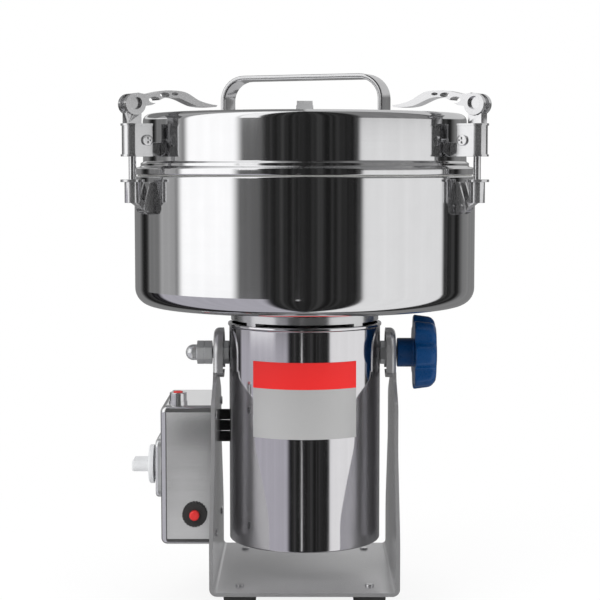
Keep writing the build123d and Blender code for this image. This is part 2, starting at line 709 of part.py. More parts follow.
def tilt_knob():
    """The lobed hand knob: a hub and a tapered head with shallow valleys."""
    hub_start = ARM_OUT + TILT_HUB_START
    head_start = hub_start + TILT_HUB_LONG
    head_end = head_start + TILT_HEAD_LONG
    head = Cone(TILT_HEAD / 2, TILT_HEAD_END / 2, TILT_HEAD_LONG, align=ON_BASE)
    reach = TILT_HEAD / 2 + TILT_VALLEY - TILT_VALLEY_DEEP
    for i in range(TILT_LOBES):
        turn = 2 * math.pi * (i + 0.5) / TILT_LOBES
        valley_x = -reach * math.cos(turn)
        valley_y = reach * math.sin(turn)
        head -= post(TILT_VALLEY, -OVERRUN, TILT_HEAD_LONG + OVERRUN, valley_x, valley_y)
    ends = head.faces().sort_by(Axis.Z)
    head = fillet(ends[-1].edges(), TILT_HEAD_ROUND)
    head = fillet(head.faces().sort_by(Axis.Z)[0].edges(), TILT_RIM_ROUND)
    head = Pos(head_start, 0, PIVOT_Z) * Rot(0, 90, 0) * head
    hub = bar_x(TILT_HUB / 2, hub_start, head_start + OVERRUN, 0, PIVOT_Z)
    pocket = bar_x(INSERT_DIAMETER / 2 + FIT, hub_start - OVERRUN, hub_start + INSERT_LONG, 0, PIVOT_Z)
    tail = stud_bore(hub_start, ARM_OUT + STUD_RIGHT_REACH + GAP)
    return (head + hub) - pocket - tail & bar_x(TILT_HEAD, hub_start, head_end, 0, PIVOT_Z)


def knob_insert():
    """The threaded bush moulded into the tilt knob."""
    start = ARM_OUT + TILT_HUB_START
    end = start + INSERT_LONG
    return bar_x(INSERT_DIAMETER / 2, start, end, 0, PIVOT_Z) - stud_bore(start, end)


def motor_housing():
    """The round housing tube, with a lip at the top and the trunnion holes."""
    tube = pipe(HOUSING_RADIUS, HOUSING_INNER, HOUSING_LOW_Z, HOUSING_HIGH_Z)
    lip_low = HOUSING_HIGH_Z - HOUSING_LIP_HIGH
    tube += pipe(HOUSING_RADIUS + HOUSING_LIP, HOUSING_INNER, lip_low, HOUSING_HIGH_Z)
    return tube - stud_bore(-HOUSING_RADIUS, HOUSING_RADIUS)


def cover_screw_places():
    """The screws that hold the bottom cover to the lower end bell."""
    radius = HOUSING_INNER - COVER_RIM
    turns = [math.radians(45 + 360 * i / COVER_SCREW_COUNT) for i in range(COVER_SCREW_COUNT)]
    return [(radius * math.cos(t), radius * math.sin(t)) for t in turns]


def bottom_cover():
    """The vented plate that closes the housing from below."""
    low = HOUSING_LOW_Z
    cover = post(HOUSING_INNER - FIT, low, low + COVER_THICK)
    cover += pipe(HOUSING_INNER - FIT, HOUSING_INNER - FIT - COVER_THICK, low, BELL_LOW_Z)
    vent = post(COVER_VENT_SIDE / 2, low - OVERRUN, low + COVER_THICK + OVERRUN, COVER_VENT_RADIUS)
    for hole in around(vent, COVER_VENTS):
        cover -= hole
    for x, y in cover_screw_places():
        cover -= post(COVER_SCREW / 2 + FIT, low - OVERRUN, low + COVER_THICK + OVERRUN, x, y)
    return cover


def bowl_screw_places():
    """The screws that hold the bowl to the posts of the collar."""
    radius = (COLLAR_RADIUS + COLLAR_INNER) / 2
    turns = [math.radians(45 + 360 * i / COLLAR_POSTS) for i in range(COLLAR_POSTS)]
    return [(radius * math.cos(t), radius * math.sin(t)) for t in turns]


def housing_screws():
    """Screws of the bottom cover and of the bowl."""
    screws = []
    low = HOUSING_LOW_Z
    for x, y in cover_screw_places():
        head = post(SCREW_HEAD / 2, low - SCREW_HEAD_HIGH, low, x, y)
        head = rounded(head, Axis.Z, SCREW_HEAD_ROUND, False)
        screws.append(head + post(COVER_SCREW / 2, low, BELL_LOW_Z, x, y))
    for x, y in bowl_screw_places():
        head = post(BOWL_SCREW_HEAD / 2, BOWL_FLOOR_Z, BOWL_FLOOR_Z + BOWL_SCREW_HEAD_HIGH, x, y)
        head = rounded(head, Axis.Z, SCREW_HEAD_ROUND, True)
        screws.append(head + post(BOWL_SCREW / 2, HOUSING_HIGH_Z, BOWL_FLOOR_Z, x, y))
    return screws


def vent_collar():
    """The slotted ring under the bowl, with posts, a top plate and the upper bearing's hub."""
    top = COLLAR_TOP_Z
    ring_low = HOUSING_HIGH_Z + COLLAR_SLOT
    collar = pipe(COLLAR_RADIUS, COLLAR_INNER, ring_low, ring_low + COLLAR_RING)
    half = COLLAR_POST / 2
    span = block((COLLAR_INNER - half, -half, HOUSING_HIGH_Z), (COLLAR_RADIUS + half, half, top))
    span &= pipe(COLLAR_RADIUS, COLLAR_INNER, HOUSING_HIGH_Z, top)
    for leg in around(span, COLLAR_POSTS, 45.0):
        collar += leg
    collar += post(COLLAR_INNER + half, top - COLLAR_PLATE, top)
    collar += post(COLLAR_HUB, top - COLLAR_PLATE - BEARING_THICK, top)
    bearing = top - COLLAR_PLATE - BEARING_THICK
    collar -= post(BEARING_DIAMETER / 2 + FIT, bearing - OVERRUN, top - COLLAR_PLATE)
    collar -= post(SEAL_RADIUS - BOWL_WALL, bearing - OVERRUN, top + OVERRUN)
    for x, y in bowl_screw_places():
        collar -= post(BOWL_SCREW / 2 + FIT, HOUSING_HIGH_Z - OVERRUN, top + OVERRUN, x, y)
    return collar.solids().sort_by(SortBy.VOLUME)[-1]


def bearing_levels():
    """The lower faces of the two shaft bearings."""
    return [BELL_LOW_Z + BELL_PLATE, COLLAR_TOP_Z - COLLAR_PLATE - BEARING_THICK]


def shaft_bearings():
    """The two rings that the shaft runs in."""
    outer = BEARING_DIAMETER / 2
    return [pipe(outer, SHAFT_RADIUS + RUN, z, z + BEARING_THICK) for z in bearing_levels()]


def lower_end_bell():
    """The plate at the foot of the motor, with the cup of the lower bearing."""
    top = BELL_LOW_Z + BELL_PLATE
    bell = post(HOUSING_INNER - FIT, BELL_LOW_Z, top)
    bell += post(BELL_CUP / 2, top, top + BEARING_THICK)
    bell -= post(BEARING_DIAMETER / 2 + FIT, top, top + BEARING_THICK + OVERRUN)
    return bell - post(SHAFT_RADIUS + GAP, BELL_LOW_Z - OVERRUN, top + OVERRUN)


def stator_core():
    """The ring of laminations pressed into the housing."""
    return pipe(HOUSING_INNER - FIT, STATOR_INNER, STATOR_LOW_Z, STATOR_LOW_Z + STATOR_LONG)


def field_coils():
    """The end turns of the field winding, above and below the core."""
    high = STATOR_LOW_Z + STATOR_LONG
    coils = [(STATOR_LOW_Z - COIL_HIGH, STATOR_LOW_Z), (high, high + COIL_HIGH)]
    rings = [pipe(COIL_OUTER, COIL_INNER, low, top) for low, top in coils]
    ends = [rounded(rings[0], Axis.Z, COIL_HIGH / 4, False), rounded(rings[1], Axis.Z, COIL_HIGH / 4, True)]
    return ends


def brush_middle_z():
    """The height of the brushes, at the middle of the commutator."""
    return COMMUTATOR_LOW_Z + COMMUTATOR_LONG / 2


def brush_holders():
    """Two boxes that guide the brushes, held to the housing wall."""
    half = BRUSH_SIDE / 2 + FIT
    wall = half + BRUSH_WALL
    z = brush_middle_z()
    start = COMMUTATOR_RADIUS + BRUSH_WALL * 2
    shell = block((start, -wall, z - wall), (HOUSING_RADIUS, wall, z + wall))
    shell -= block((start - OVERRUN, -half, z - half), (start + BRUSH_LONG, half, z + half))
    shell &= post(HOUSING_INNER - FIT, z - wall - OVERRUN, z + wall + OVERRUN)
    return around(shell, 2, 90.0)


def carbon_brushes():
    """Two brushes that bear on the commutator."""
    half = BRUSH_SIDE / 2
    z = brush_middle_z()
    start = COMMUTATOR_RADIUS
    end = start + BRUSH_WALL * 2 + BRUSH_LONG
    brush = block((start - half, -half, z - half), (end, half, z + half))
    brush -= post(COMMUTATOR_RADIUS + RUN, z - BRUSH_SIDE, z + BRUSH_SIDE)
    return around(brush, 2, 90.0)


def blade_levels():
    """The heights where blades, spacer and nut are stacked on the shaft."""
    lower = BOWL_FLOOR_Z + SEAL_HIGH + GAP
    spacer = lower + BLADE_THICK
    upper = spacer + SPACER_HIGH
    nut = upper + BLADE_THICK
    return lower, spacer, upper, nut


def motor_shaft():
    """The shaft from the lower bearing up through the bowl to the blade nut."""
    nut = blade_levels()[3]
    shaft = post(SHAFT_RADIUS, SHAFT_LOW_Z, nut + BLADE_NUT_HIGH - OVERRUN)
    seat = blade_levels()[0]
    return shaft + post(SPACER_RADIUS - RUN, seat - SEAL_HIGH / 2, seat)


def armature_core():
    """The slotted rotor stack."""
    core = pipe(ARMATURE_RADIUS, SHAFT_RADIUS + RUN, STATOR_LOW_Z, STATOR_LOW_Z + STATOR_LONG)
    half = ARMATURE_SLOT_WIDE / 2
    bottom = STATOR_LOW_Z - OVERRUN
    top = STATOR_LOW_Z + STATOR_LONG + OVERRUN
    slot_in = ARMATURE_RADIUS - ARMATURE_SLOT_DEEP
    slot = block((slot_in, -half, bottom), (ARMATURE_RADIUS + OVERRUN, half, top))
    for cut in around(slot, ARMATURE_SLOTS):
        core -= cut
    return core


def armature_winding():
    """The end turns on both sides of the rotor stack."""
    high = STATOR_LOW_Z + STATOR_LONG
    spans = [(STATOR_LOW_Z - WINDING_HIGH, STATOR_LOW_Z), (high, high + WINDING_HIGH)]
    return [pipe(WINDING_RADIUS, SHAFT_RADIUS + RUN, low, top) for low, top in spans]


def commutator():
    """The ring of bars that the brushes bear on."""
    return pipe(COMMUTATOR_RADIUS, SHAFT_RADIUS + RUN, COMMUTATOR_LOW_Z, COMMUTATOR_LOW_Z + COMMUTATOR_LONG)


def cooling_fan():
    """The fan on the shaft above the motor, a plate with upright blades."""
    top = FAN_LOW_Z + FAN_PLATE + FAN_BLADE_HIGH
    fan = post(FAN_RADIUS, FAN_LOW_Z, FAN_LOW_Z + FAN_PLATE) + post(FAN_HUB, FAN_LOW_Z, top)
    half = FAN_BLADE_THICK / 2
    blade = block((FAN_HUB - FAN_PLATE, -half, FAN_LOW_Z), (FAN_RADIUS - FAN_PLATE, half, top))
    for wing in around(blade, FAN_BLADES):
        fan += wing
    return fan - post(SHAFT_RADIUS + RUN, FAN_LOW_Z - OVERRUN, top + OVERRUN)


def shaft_seal():
    """The seal in the bowl's floor, round the shaft."""
    low = COLLAR_TOP_Z - COLLAR_PLATE
    neck = post(SEAL_RADIUS - BOWL_WALL - FIT, low, BOWL_FLOOR_Z)
    body = neck + post(SEAL_RADIUS, BOWL_FLOOR_Z, BOWL_FLOOR_Z + SEAL_HIGH / 3)
    return body - post(SHAFT_RADIUS + RUN, low - OVERRUN, BOWL_FLOOR_Z + SEAL_HIGH)


def blade(long, low, turn):
    """A two-winged cutting blade, tapered to its tips and bored for the shaft."""
    half = long / 2
    root = BLADE_WIDE / 2
    tip = BLADE_TIP_WIDE / 2
    points = [(-half, -tip), (-root, -root), (root, -root), (half, -root), (half, tip), (root, root),
              (-root, root), (-half, root)]
    plate = Pos(0, 0, low) * extrude(make_face(Polyline(*points, close=True)), BLADE_THICK)
    return Rot(0, 0, turn) * (plate - post(SHAFT_RADIUS + RUN, low - OVERRUN, low + BLADE_THICK + OVERRUN))


def blade_spacer():
    """The sleeve between the two blades."""
    low = blade_levels()[1]
    return pipe(SPACER_RADIUS, SHAFT_RADIUS + RUN, low, low + SPACER_HIGH)


def blade_nut():
    """The domed nut on top of the blades."""
    low = blade_levels()[3]
    face = RegularPolygon(BLADE_NUT_FLATS / 2, 6, major_radius=False)
    nut = Pos(0, 0, low) * extrude(face, BLADE_NUT_HIGH)
    dome = post(BLADE_NUT_FLATS / 2 - FIT, low, low + BLADE_NUT_HIGH + BLADE_NUT_DOME)
    dome = rounded(dome, Axis.Z, BLADE_NUT_DOME, True)
    return nut + dome - post(SHAFT_RADIUS + RUN, low - OVERRUN, low + BLADE_NUT_HIGH - OVERRUN + GAP)


def bowl():
    """The round bowl with a rounded foot and a bored floor."""
    outer = post(BOWL_RADIUS, COLLAR_TOP_Z, BOWL_TOP_Z)
    outer = rounded(outer, Axis.Z, BOWL_CORNER, False)
    inner = post(BOWL_RADIUS - BOWL_WALL, BOWL_FLOOR_Z, BOWL_TOP_Z + OVERRUN)
    inner = rounded(inner, Axis.Z, BOWL_CORNER - BOWL_WALL, False)
    pot = outer - inner
    rim = pot.faces().sort_by(Axis.Z)[-1].edges()
    pot = fillet(rim, BOWL_LIP)
    pot -= post(SEAL_RADIUS - BOWL_WALL, COLLAR_TOP_Z - OVERRUN, BOWL_FLOOR_Z + OVERRUN)
    for x, y in bowl_screw_places():
        pot -= post(BOWL_SCREW / 2 + FIT, COLLAR_TOP_Z - OVERRUN, BOWL_FLOOR_Z + OVERRUN, x, y)
    return pot


def lid_lug():
    """The round-nosed lug on the lid that a clamp hooks over."""
    reach = HOOK_SCREW / 2 + LUG_NOSE + GAP
    nose_r = HOOK_R - LUG_INWARD
    nose_z = HOOK_Z - math.sqrt(reach ** 2 - LUG_INWARD ** 2)
    half = LUG_WIDE / 2
    nose = bar_y(LUG_NOSE, -half, half, nose_r, nose_z)
    root = LID_RADIUS - LID_WALL / 2
    points = [(root, nose_z - LUG_ROOT), (nose_r, nose_z - LUG_NOSE), (nose_r, nose_z + LUG_NOSE),
              (root, nose_z + LUG_NOSE)]
    lug = nose + extrude(Plane.XZ * make_face(Polyline(*points, close=True)), half, both=True)
    return lug - post(LID_RADIUS, LID_LOW_Z, LID_TOP_Z)


def lid_lugs():
    """The three lugs, welded to the lid's wall."""
    return [Rot(0, 0, angle) * lid_lug() for angle in CLAMP_ANGLES.values()]


def lid_shell():
    """The pressed lid: a rim band, a bead, a straight wall and a rounded top edge."""
    band_top = LID_LOW_Z + LID_BAND_HIGH
    bead_top = band_top + LID_BEAD_HIGH
    side = LID_RADIUS
    inner = side - LID_WALL
    under = LID_TOP_Z - LID_WALL
    points = [(0, LID_TOP_Z), (side, LID_TOP_Z), (side, bead_top), (LID_BAND_RADIUS, band_top),
              (LID_BAND_RADIUS, LID_LOW_Z), (inner, LID_LOW_Z), (inner, under), (0, under)]
    bead = LID_BEAD_HIGH / 3
    radii = [LID_EDGE, bead, bead, LID_WALL / 4, LID_WALL / 4, LID_EDGE - LID_WALL]
    path = FilletPolyline(*points, radius=radii)
    return turned(path.edges() + Line(points[-1], points[0]).edges())


def lid_gasket():
    """The rubber ring that seals the lid to the bowl, with a skirt inside the bowl."""
    outer = BOWL_RADIUS - BOWL_WALL - GAP
    inner = outer - GASKET_WALL
    seat = LID_BAND_RADIUS - LID_WALL
    ring = pipe(seat, inner, BOWL_TOP_Z + GAP, LID_LOW_Z)
    return ring + pipe(outer, inner, BOWL_TOP_Z - GASKET_DROP, LID_LOW_Z)


def lid_handle():
    """The flat bar bent into a grip across the lid."""
    half = HANDLE_LONG / 2
    high = LID_TOP_Z + HANDLE_HIGH
    outer = [(-half, LID_TOP_Z), (-half, high), (half, high), (half, LID_TOP_Z)]
    inner = [(x * (half - HANDLE_THICK) / half, z - HANDLE_THICK if z > LID_TOP_Z else z) for x, z in outer]
    wide = HANDLE_WIDE / 2
    bends = [0, HANDLE_BEND, HANDLE_BEND, 0]
    tight = [0, HANDLE_BEND - HANDLE_THICK, HANDLE_BEND - HANDLE_THICK, 0]
    shapes = []
    for points, radii in ((outer, bends), (inner, tight)):
        path = FilletPolyline(*points, radius=radii, close=True)
        shapes.append(extrude(Plane.XZ * make_face(path.edges()), wide, both=True))
    grip = shapes[0] - shapes[1]
    return Rot(0, 0, HANDLE_TURN) * grip


def rating_plate():
    """The thin plate bent round the front of the housing."""
    low = HOUSING_RADIUS + RUN
    half = RATING_SPREAD / 2
    shell = pipe(low + RATING_THICK, low, RATING_LOW_Z, RATING_HIGH_Z)
    return shell & block((-half, -HOUSING_RADIUS * 2, RATING_LOW_Z), (half, 0, RATING_HIGH_Z))


def clamp_bracket():
    """Two ears on a back plate, fixed to the bowl beside the link."""
    inner = LINK_EYE_WIDE / 2 + GAP
    outer = inner + EAR_THICK
    seat = BOWL_RADIUS + FIT
    root = BOWL_RADIUS - EAR_PLATE
    top = LINK_Z + EAR_HIGH
    points = [(root, LINK_Z - EAR_ROUND), (LINK_R, LINK_Z - EAR_ROUND), (LINK_R + EAR_ROUND, LINK_Z),
              (seat + EAR_PLATE, top), (root, top)]
    side = extrude(Plane.XZ * make_face(Polyline(*points, close=True)), outer, both=True)
    side += bar_y(EAR_ROUND, -outer, outer, LINK_R, LINK_Z)
    far = LINK_R + EAR_HIGH
    slot = block((root - OVERRUN, -inner, LINK_Z - EAR_HIGH), (far, inner, LINK_Z + EAR_PLATE_LOW))
    slot += block((seat + EAR_PLATE, -inner, LINK_Z), (LINK_R + EAR_HIGH, inner, top + OVERRUN))
    bracket = side - slot - post(seat, LINK_Z - EAR_HIGH, top + OVERRUN)
    return bracket - bar_y(HINGE_PIN / 2 + RUN, -outer - OVERRUN, outer + OVERRUN, LINK_R, LINK_Z)


def hinge_pin():
    """The headed pin that a link swings on."""
    reach = LINK_EYE_WIDE / 2 + GAP + EAR_THICK
    pin = bar_y(HINGE_PIN / 2, -reach, reach, LINK_R, LINK_Z)
    for low in (-reach - HINGE_HEAD_THICK, reach):
        pin += bar_y(HINGE_HEAD / 2, low, low + HINGE_HEAD_THICK, LINK_R, LINK_Z)
    return pin


def clamp_link():
    """The lower link: an eye on the hinge pin and a flanged cup for the rod."""
    half = LINK_EYE_WIDE / 2
    cup_top = LINK_CUP_Z + LINK_CUP_HIGH
    eye = bar_y(LINK_EYE, -half, half, LINK_R, LINK_Z)
    points = [(LINK_R, LINK_Z - LINK_EYE), (ROD_R, LINK_CUP_Z), (ROD_R, LINK_CUP_Z + LINK_CUP_HIGH / 2),
              (LINK_R, LINK_Z + LINK_EYE)]
    arm = extrude(Plane.XZ * make_face(Polyline(*points, close=True)), half, both=True)
    cup = post(LINK_CUP, LINK_CUP_Z, cup_top, ROD_R)
    flange = post(LINK_FLANGE, cup_top, cup_top + LINK_FLANGE_THICK, ROD_R)
    link = eye + arm + cup + flange
    top = cup_top + LINK_FLANGE_THICK
    link -= post(ROD_DIAMETER / 2 + RUN, top - ROD_IN_CUP, top + OVERRUN, ROD_R)
    return link - bar_y(HINGE_PIN / 2 + RUN, -half - OVERRUN, half + OVERRUN, LINK_R, LINK_Z)


def clamp_rod():
    """The threaded rod, with the cross barrel that the cam lever turns on."""
    low = LINK_CUP_Z + LINK_CUP_HIGH + LINK_FLANGE_THICK - ROD_IN_CUP
    half = CAM_WIDE / 2 - BARREL_INSET
    return post(ROD_DIAMETER / 2, low, CAM_Z, ROD_R) + bar_y(BARREL_DIAMETER / 2, -half, half, ROD_R, CAM_Z)


def clamp_yoke():
    """The hooked yoke round the rod, with the cam's saddle on top."""
    half = YOKE_WIDE / 2
    inside = half - YOKE_WALL
    over = YOKE_HIGH * 2
    outer = post(half, YOKE_LOW_Z, YOKE_TOP_Z, ROD_R)
    outer += block((YOKE_IN_R, -half, YOKE_LOW_Z), (ROD_R, half, YOKE_TOP_Z))
    rim = half + YOKE_RIM
    for low in (YOKE_LOW_Z, YOKE_TOP_Z - YOKE_RIM_HIGH):
        outer += post(rim, low, low + YOKE_RIM_HIGH, ROD_R)
        outer += block((YOKE_IN_R, -rim, low), (ROD_R, rim, low + YOKE_RIM_HIGH))
    hollow = post(inside, YOKE_LOW_Z + YOKE_PLATE, YOKE_TOP_Z - YOKE_PLATE, ROD_R)
    hollow_low = (YOKE_IN_R - over, -inside, YOKE_LOW_Z + YOKE_PLATE)
    hollow += block(hollow_low, (ROD_R, inside, YOKE_TOP_Z - YOKE_PLATE))
    start = ROD_R - YOKE_PLATE_START
    mouth = block((YOKE_IN_R - over, -inside, YOKE_LOW_Z - OVERRUN), (start, inside, YOKE_TOP_Z + OVERRUN))
    saddle_low = CAM_Z - CAM_OFFSET - CAM_RADIUS - SADDLE_CLEAR
    saddle_high = (ROD_R + inside, inside, saddle_low + SADDLE_RISE)
    saddle = block((ROD_R - inside, -inside, YOKE_TOP_Z), saddle_high)
    saddle -= bar_y(CAM_RADIUS + SADDLE_CLEAR, -half, half, ROD_R, CAM_Z - CAM_OFFSET)
    yoke = outer - hollow - mouth + saddle
    yoke -= post(ROD_DIAMETER / 2 + FIT, YOKE_LOW_Z - OVERRUN, CAM_Z, ROD_R)
    return yoke - bar_y(HOOK_SCREW / 2 + FIT, -half - OVERRUN, half + OVERRUN, HOOK_R, HOOK_Z)


def hook_screw():
    """The cross screw of a yoke that bears on the lid's lug."""
    half = YOKE_WIDE / 2
    screw = bar_y(HOOK_SCREW / 2, -half, half, HOOK_R, HOOK_Z)
    for low in (-half - HOOK_HEAD_HIGH, half):
        head = bar_y(HOOK_HEAD / 2, low, low + HOOK_HEAD_HIGH, HOOK_R, HOOK_Z)
        screw += rounded(head, Axis.Y, SCREW_HEAD_ROUND / 2, low > 0)
    face = half + HOOK_HEAD_HIGH
    floor = face - HOOK_CROSS_DEEP
    for wide, high in ((HOOK_CROSS_LONG, HOOK_CROSS_WIDE), (HOOK_CROSS_WIDE, HOOK_CROSS_LONG)):
        slot = Pos(HOOK_R, 0, HOOK_Z) * Box(wide, 2 * face + OVERRUN, high)
        screw -= slot - block((HOOK_R - wide, -floor, HOOK_Z - high), (HOOK_R + wide, floor, HOOK_Z + high))
    return screw


def lever_points(shares):
    """Points of the lever's side view, from shares of its length."""
    return [(ROD_R - along * LEVER_LONG, CAM_Z + up * LEVER_LONG) for along, up in shares]


def cam_lever():
    """The cam lever: an eccentric boss forked round the rod and a pierced arm."""
    top = lever_points(LEVER_TOP_SHARES)
    low = lever_points(LEVER_LOW_SHARES)
    outline = [Spline(*top), Line(top[-1], low[0]), Spline(*low), Line(low[-1], top[0])]
    face = make_face([edge for piece in outline for edge in piece.edges()])
    half = CAM_WIDE / 2
    arm = extrude(Plane.XZ * face, LEVER_WIDE / 2, both=True)
    for along, up, wide, high in LEVER_HOLE_SHARES:
        place = Pos(ROD_R - along * LEVER_LONG, CAM_Z + up * LEVER_LONG)
        hole = place * Ellipse(wide * LEVER_LONG / 2, high * LEVER_LONG / 2)
        arm -= extrude(Plane.XZ * hole, LEVER_WIDE, both=True)
    lever = arm + bar_y(CAM_RADIUS, -half, half, ROD_R, CAM_Z - CAM_OFFSET)
    side = ROD_DIAMETER / 2 + GAP
    far = CAM_RADIUS + CAM_OFFSET + OVERRUN
    lever -= block((ROD_R - side, -side, CAM_Z - far), (ROD_R + far, side, CAM_Z + CAM_RADIUS - side / 2))
    return lever - bar_y(BARREL_DIAMETER / 2 + RUN, -half - OVERRUN, half + OVERRUN, ROD_R, CAM_Z)


def write_base():
    """Writes the pieces that stand still, and the knobs and buttons they carry."""
    write("base_bracket", base_bracket())
    write("rubber_feet", *rubber_feet())
    write("base_screws", *base_screws())
    write("switch_box", switch_box())
    write("rotary_switch", rotary_switch())
    write("switch_plate", switch_plate())
    write("switch_knob", switch_knob())
    write("breaker_body", breaker_body())
    write("breaker_ring", breaker_ring())
    write("reset_button", reset_button())
    write("button_bezel", button_bezel())
    write("start_switch", start_switch())
    write("start_button", start_button())
    write("power_gland", power_gland())
    write("motor_lead", *motor_lead())


def write_grinder():
    """Writes the tilting motor with its bowl, and the knob on its trunnion."""
    write("trunnion_studs", *stud_solids())
    write("trunnion_nuts", *trunnion_nuts())
    write("dome_nut", dome_nut())
    write("tilt_knob", tilt_knob())
    write("knob_insert", knob_insert())
    write("motor_housing", motor_housing())
    write("bottom_cover", bottom_cover())
    write("housing_screws", *housing_screws())
    write("vent_collar", vent_collar())
    write("shaft_bearings", *shaft_bearings())
    write("lower_end_bell", lower_end_bell())
    write("stator_core", stator_core())
    write("field_coils", *field_coils())
    write("brush_holders", *brush_holders())
    write("carbon_brushes", *carbon_brushes())
    write("shaft_seal", shaft_seal())
    write("bowl", bowl())
    write("rating_plate", rating_plate())


def write_spindle():
    """Writes what turns with the motor shaft."""
    lower, _, upper, _ = blade_levels()
    write("motor_shaft", motor_shaft())
    write("armature_core", armature_core())
    write("armature_winding", *armature_winding())
    write("commutator", commutator())
    write("cooling_fan", cooling_fan())
    write("lower_blade", blade(BLADE_LONG, lower, 0))
    write("blade_spacer", blade_spacer())
    write("upper_blade", blade(BLADE_UPPER_LONG, upper, 90))
    write("blade_nut", blade_nut())


def write_lid():
    """Writes the lid and the three clamps round it."""
    write("lid_shell", lid_shell())
    write("lid_lugs", *lid_lugs())
    write("lid_gasket", lid_gasket())
    write("lid_handle", lid_handle())
    turns = [Rot(0, 0, angle) for angle in CLAMP_ANGLES.values()]
    write("clamp_brackets", *[turn * clamp_bracket() for turn in turns])
    write("hinge_pins", *[turn * hinge_pin() for turn in turns])
    for name, turn in zip(CLAMP_ANGLES, turns):
        write(f"{name}_clamp_link", turn * clamp_link())
        write(f"{name}_clamp_rod", turn * clamp_rod())
        write(f"{name}_clamp_yoke", turn * clamp_yoke(), turn * hook_screw())
        write(f"{name}_cam_lever", turn * cam_lever())


os.makedirs("parts", exist_ok=True)
write_base()
write_grinder()
write_spindle()
write_lid()
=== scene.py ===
"""Looks of the electric powder grinder: finishes, smooth shells, studio light and camera."""
import logging
import math
from dataclasses import dataclass
from enum import Enum
from typing import Any, Optional, Sequence, Union

import bmesh
import bpy
import numpy as np
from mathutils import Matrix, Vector


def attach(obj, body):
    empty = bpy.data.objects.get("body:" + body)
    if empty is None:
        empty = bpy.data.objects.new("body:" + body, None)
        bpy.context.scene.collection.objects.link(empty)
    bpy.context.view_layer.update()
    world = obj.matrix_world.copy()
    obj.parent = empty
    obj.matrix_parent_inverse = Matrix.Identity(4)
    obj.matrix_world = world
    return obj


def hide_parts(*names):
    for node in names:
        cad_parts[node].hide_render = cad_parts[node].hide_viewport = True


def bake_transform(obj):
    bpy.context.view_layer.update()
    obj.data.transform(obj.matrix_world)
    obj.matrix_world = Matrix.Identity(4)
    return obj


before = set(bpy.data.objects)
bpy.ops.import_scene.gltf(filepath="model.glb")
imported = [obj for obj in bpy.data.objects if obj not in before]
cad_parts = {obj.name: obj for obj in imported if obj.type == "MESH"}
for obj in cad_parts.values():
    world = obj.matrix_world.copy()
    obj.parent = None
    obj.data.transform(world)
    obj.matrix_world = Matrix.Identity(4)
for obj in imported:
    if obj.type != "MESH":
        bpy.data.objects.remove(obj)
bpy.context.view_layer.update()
LOG = logging.getLogger("grinder")

MM = 0.001
AROUND = 288
ARC_STEPS = 10
LONG_RUN = 4.0
BRACE = 0.4
BEVEL_FACETS = 2
SHARP_ANGLE = math.radians(32.0)
MERGE_DISTANCE = 1e-6
FLAT_ANGLE = math.radians(0.4)

Colour = tuple[float, float, float]
Value = Union[float, "Wire"]


class Wire:
    """An output socket that takes part in sums as a number does."""

    def __init__(self, paint: "Paint", socket: bpy.types.NodeSocket) -> None:
        """Keeps the tree that the socket belongs to.

        Args:
            paint: the tree that new Math nodes are added to.
            socket: the output socket that holds the value.
        """
        self.paint = paint
        self.socket = socket

    def _sum(self, operation: str, first: Value, second: Value) -> "Wire":
        """Adds one Math node.

        Args:
            operation: the Math node's operation.
            first: the first value.
            second: the second value.

        Returns:
            The node's output.
        """
        return self.paint.node("ShaderNodeMath", {"operation": operation}, {0: first, 1: second})

    def __add__(self, other: Value) -> "Wire":
        """The sum of two values."""
        return self._sum("ADD", self, other)

    def __radd__(self, other: Value) -> "Wire":
        """A number plus this value."""
        return self._sum("ADD", other, self)

    def __sub__(self, other: Value) -> "Wire":
        """The difference of two values."""
        return self._sum("SUBTRACT", self, other)

    def __rsub__(self, other: Value) -> "Wire":
        """A number less this value."""
        return self._sum("SUBTRACT", other, self)

    def __mul__(self, other: Value) -> "Wire":
        """The product of two values."""
        return self._sum("MULTIPLY", self, other)

    def __pow__(self, other: Value) -> "Wire":
        """This value raised to a power."""
        return self._sum("POWER", self, other)

    def __gt__(self, other: Value) -> "Wire":
        """One where this value is the greater, else zero."""
        return self._sum("GREATER_THAN", self, other)

    def __lt__(self, other: Value) -> "Wire":
        """One where this value is the smaller, else zero."""
        return self._sum("LESS_THAN", self, other)


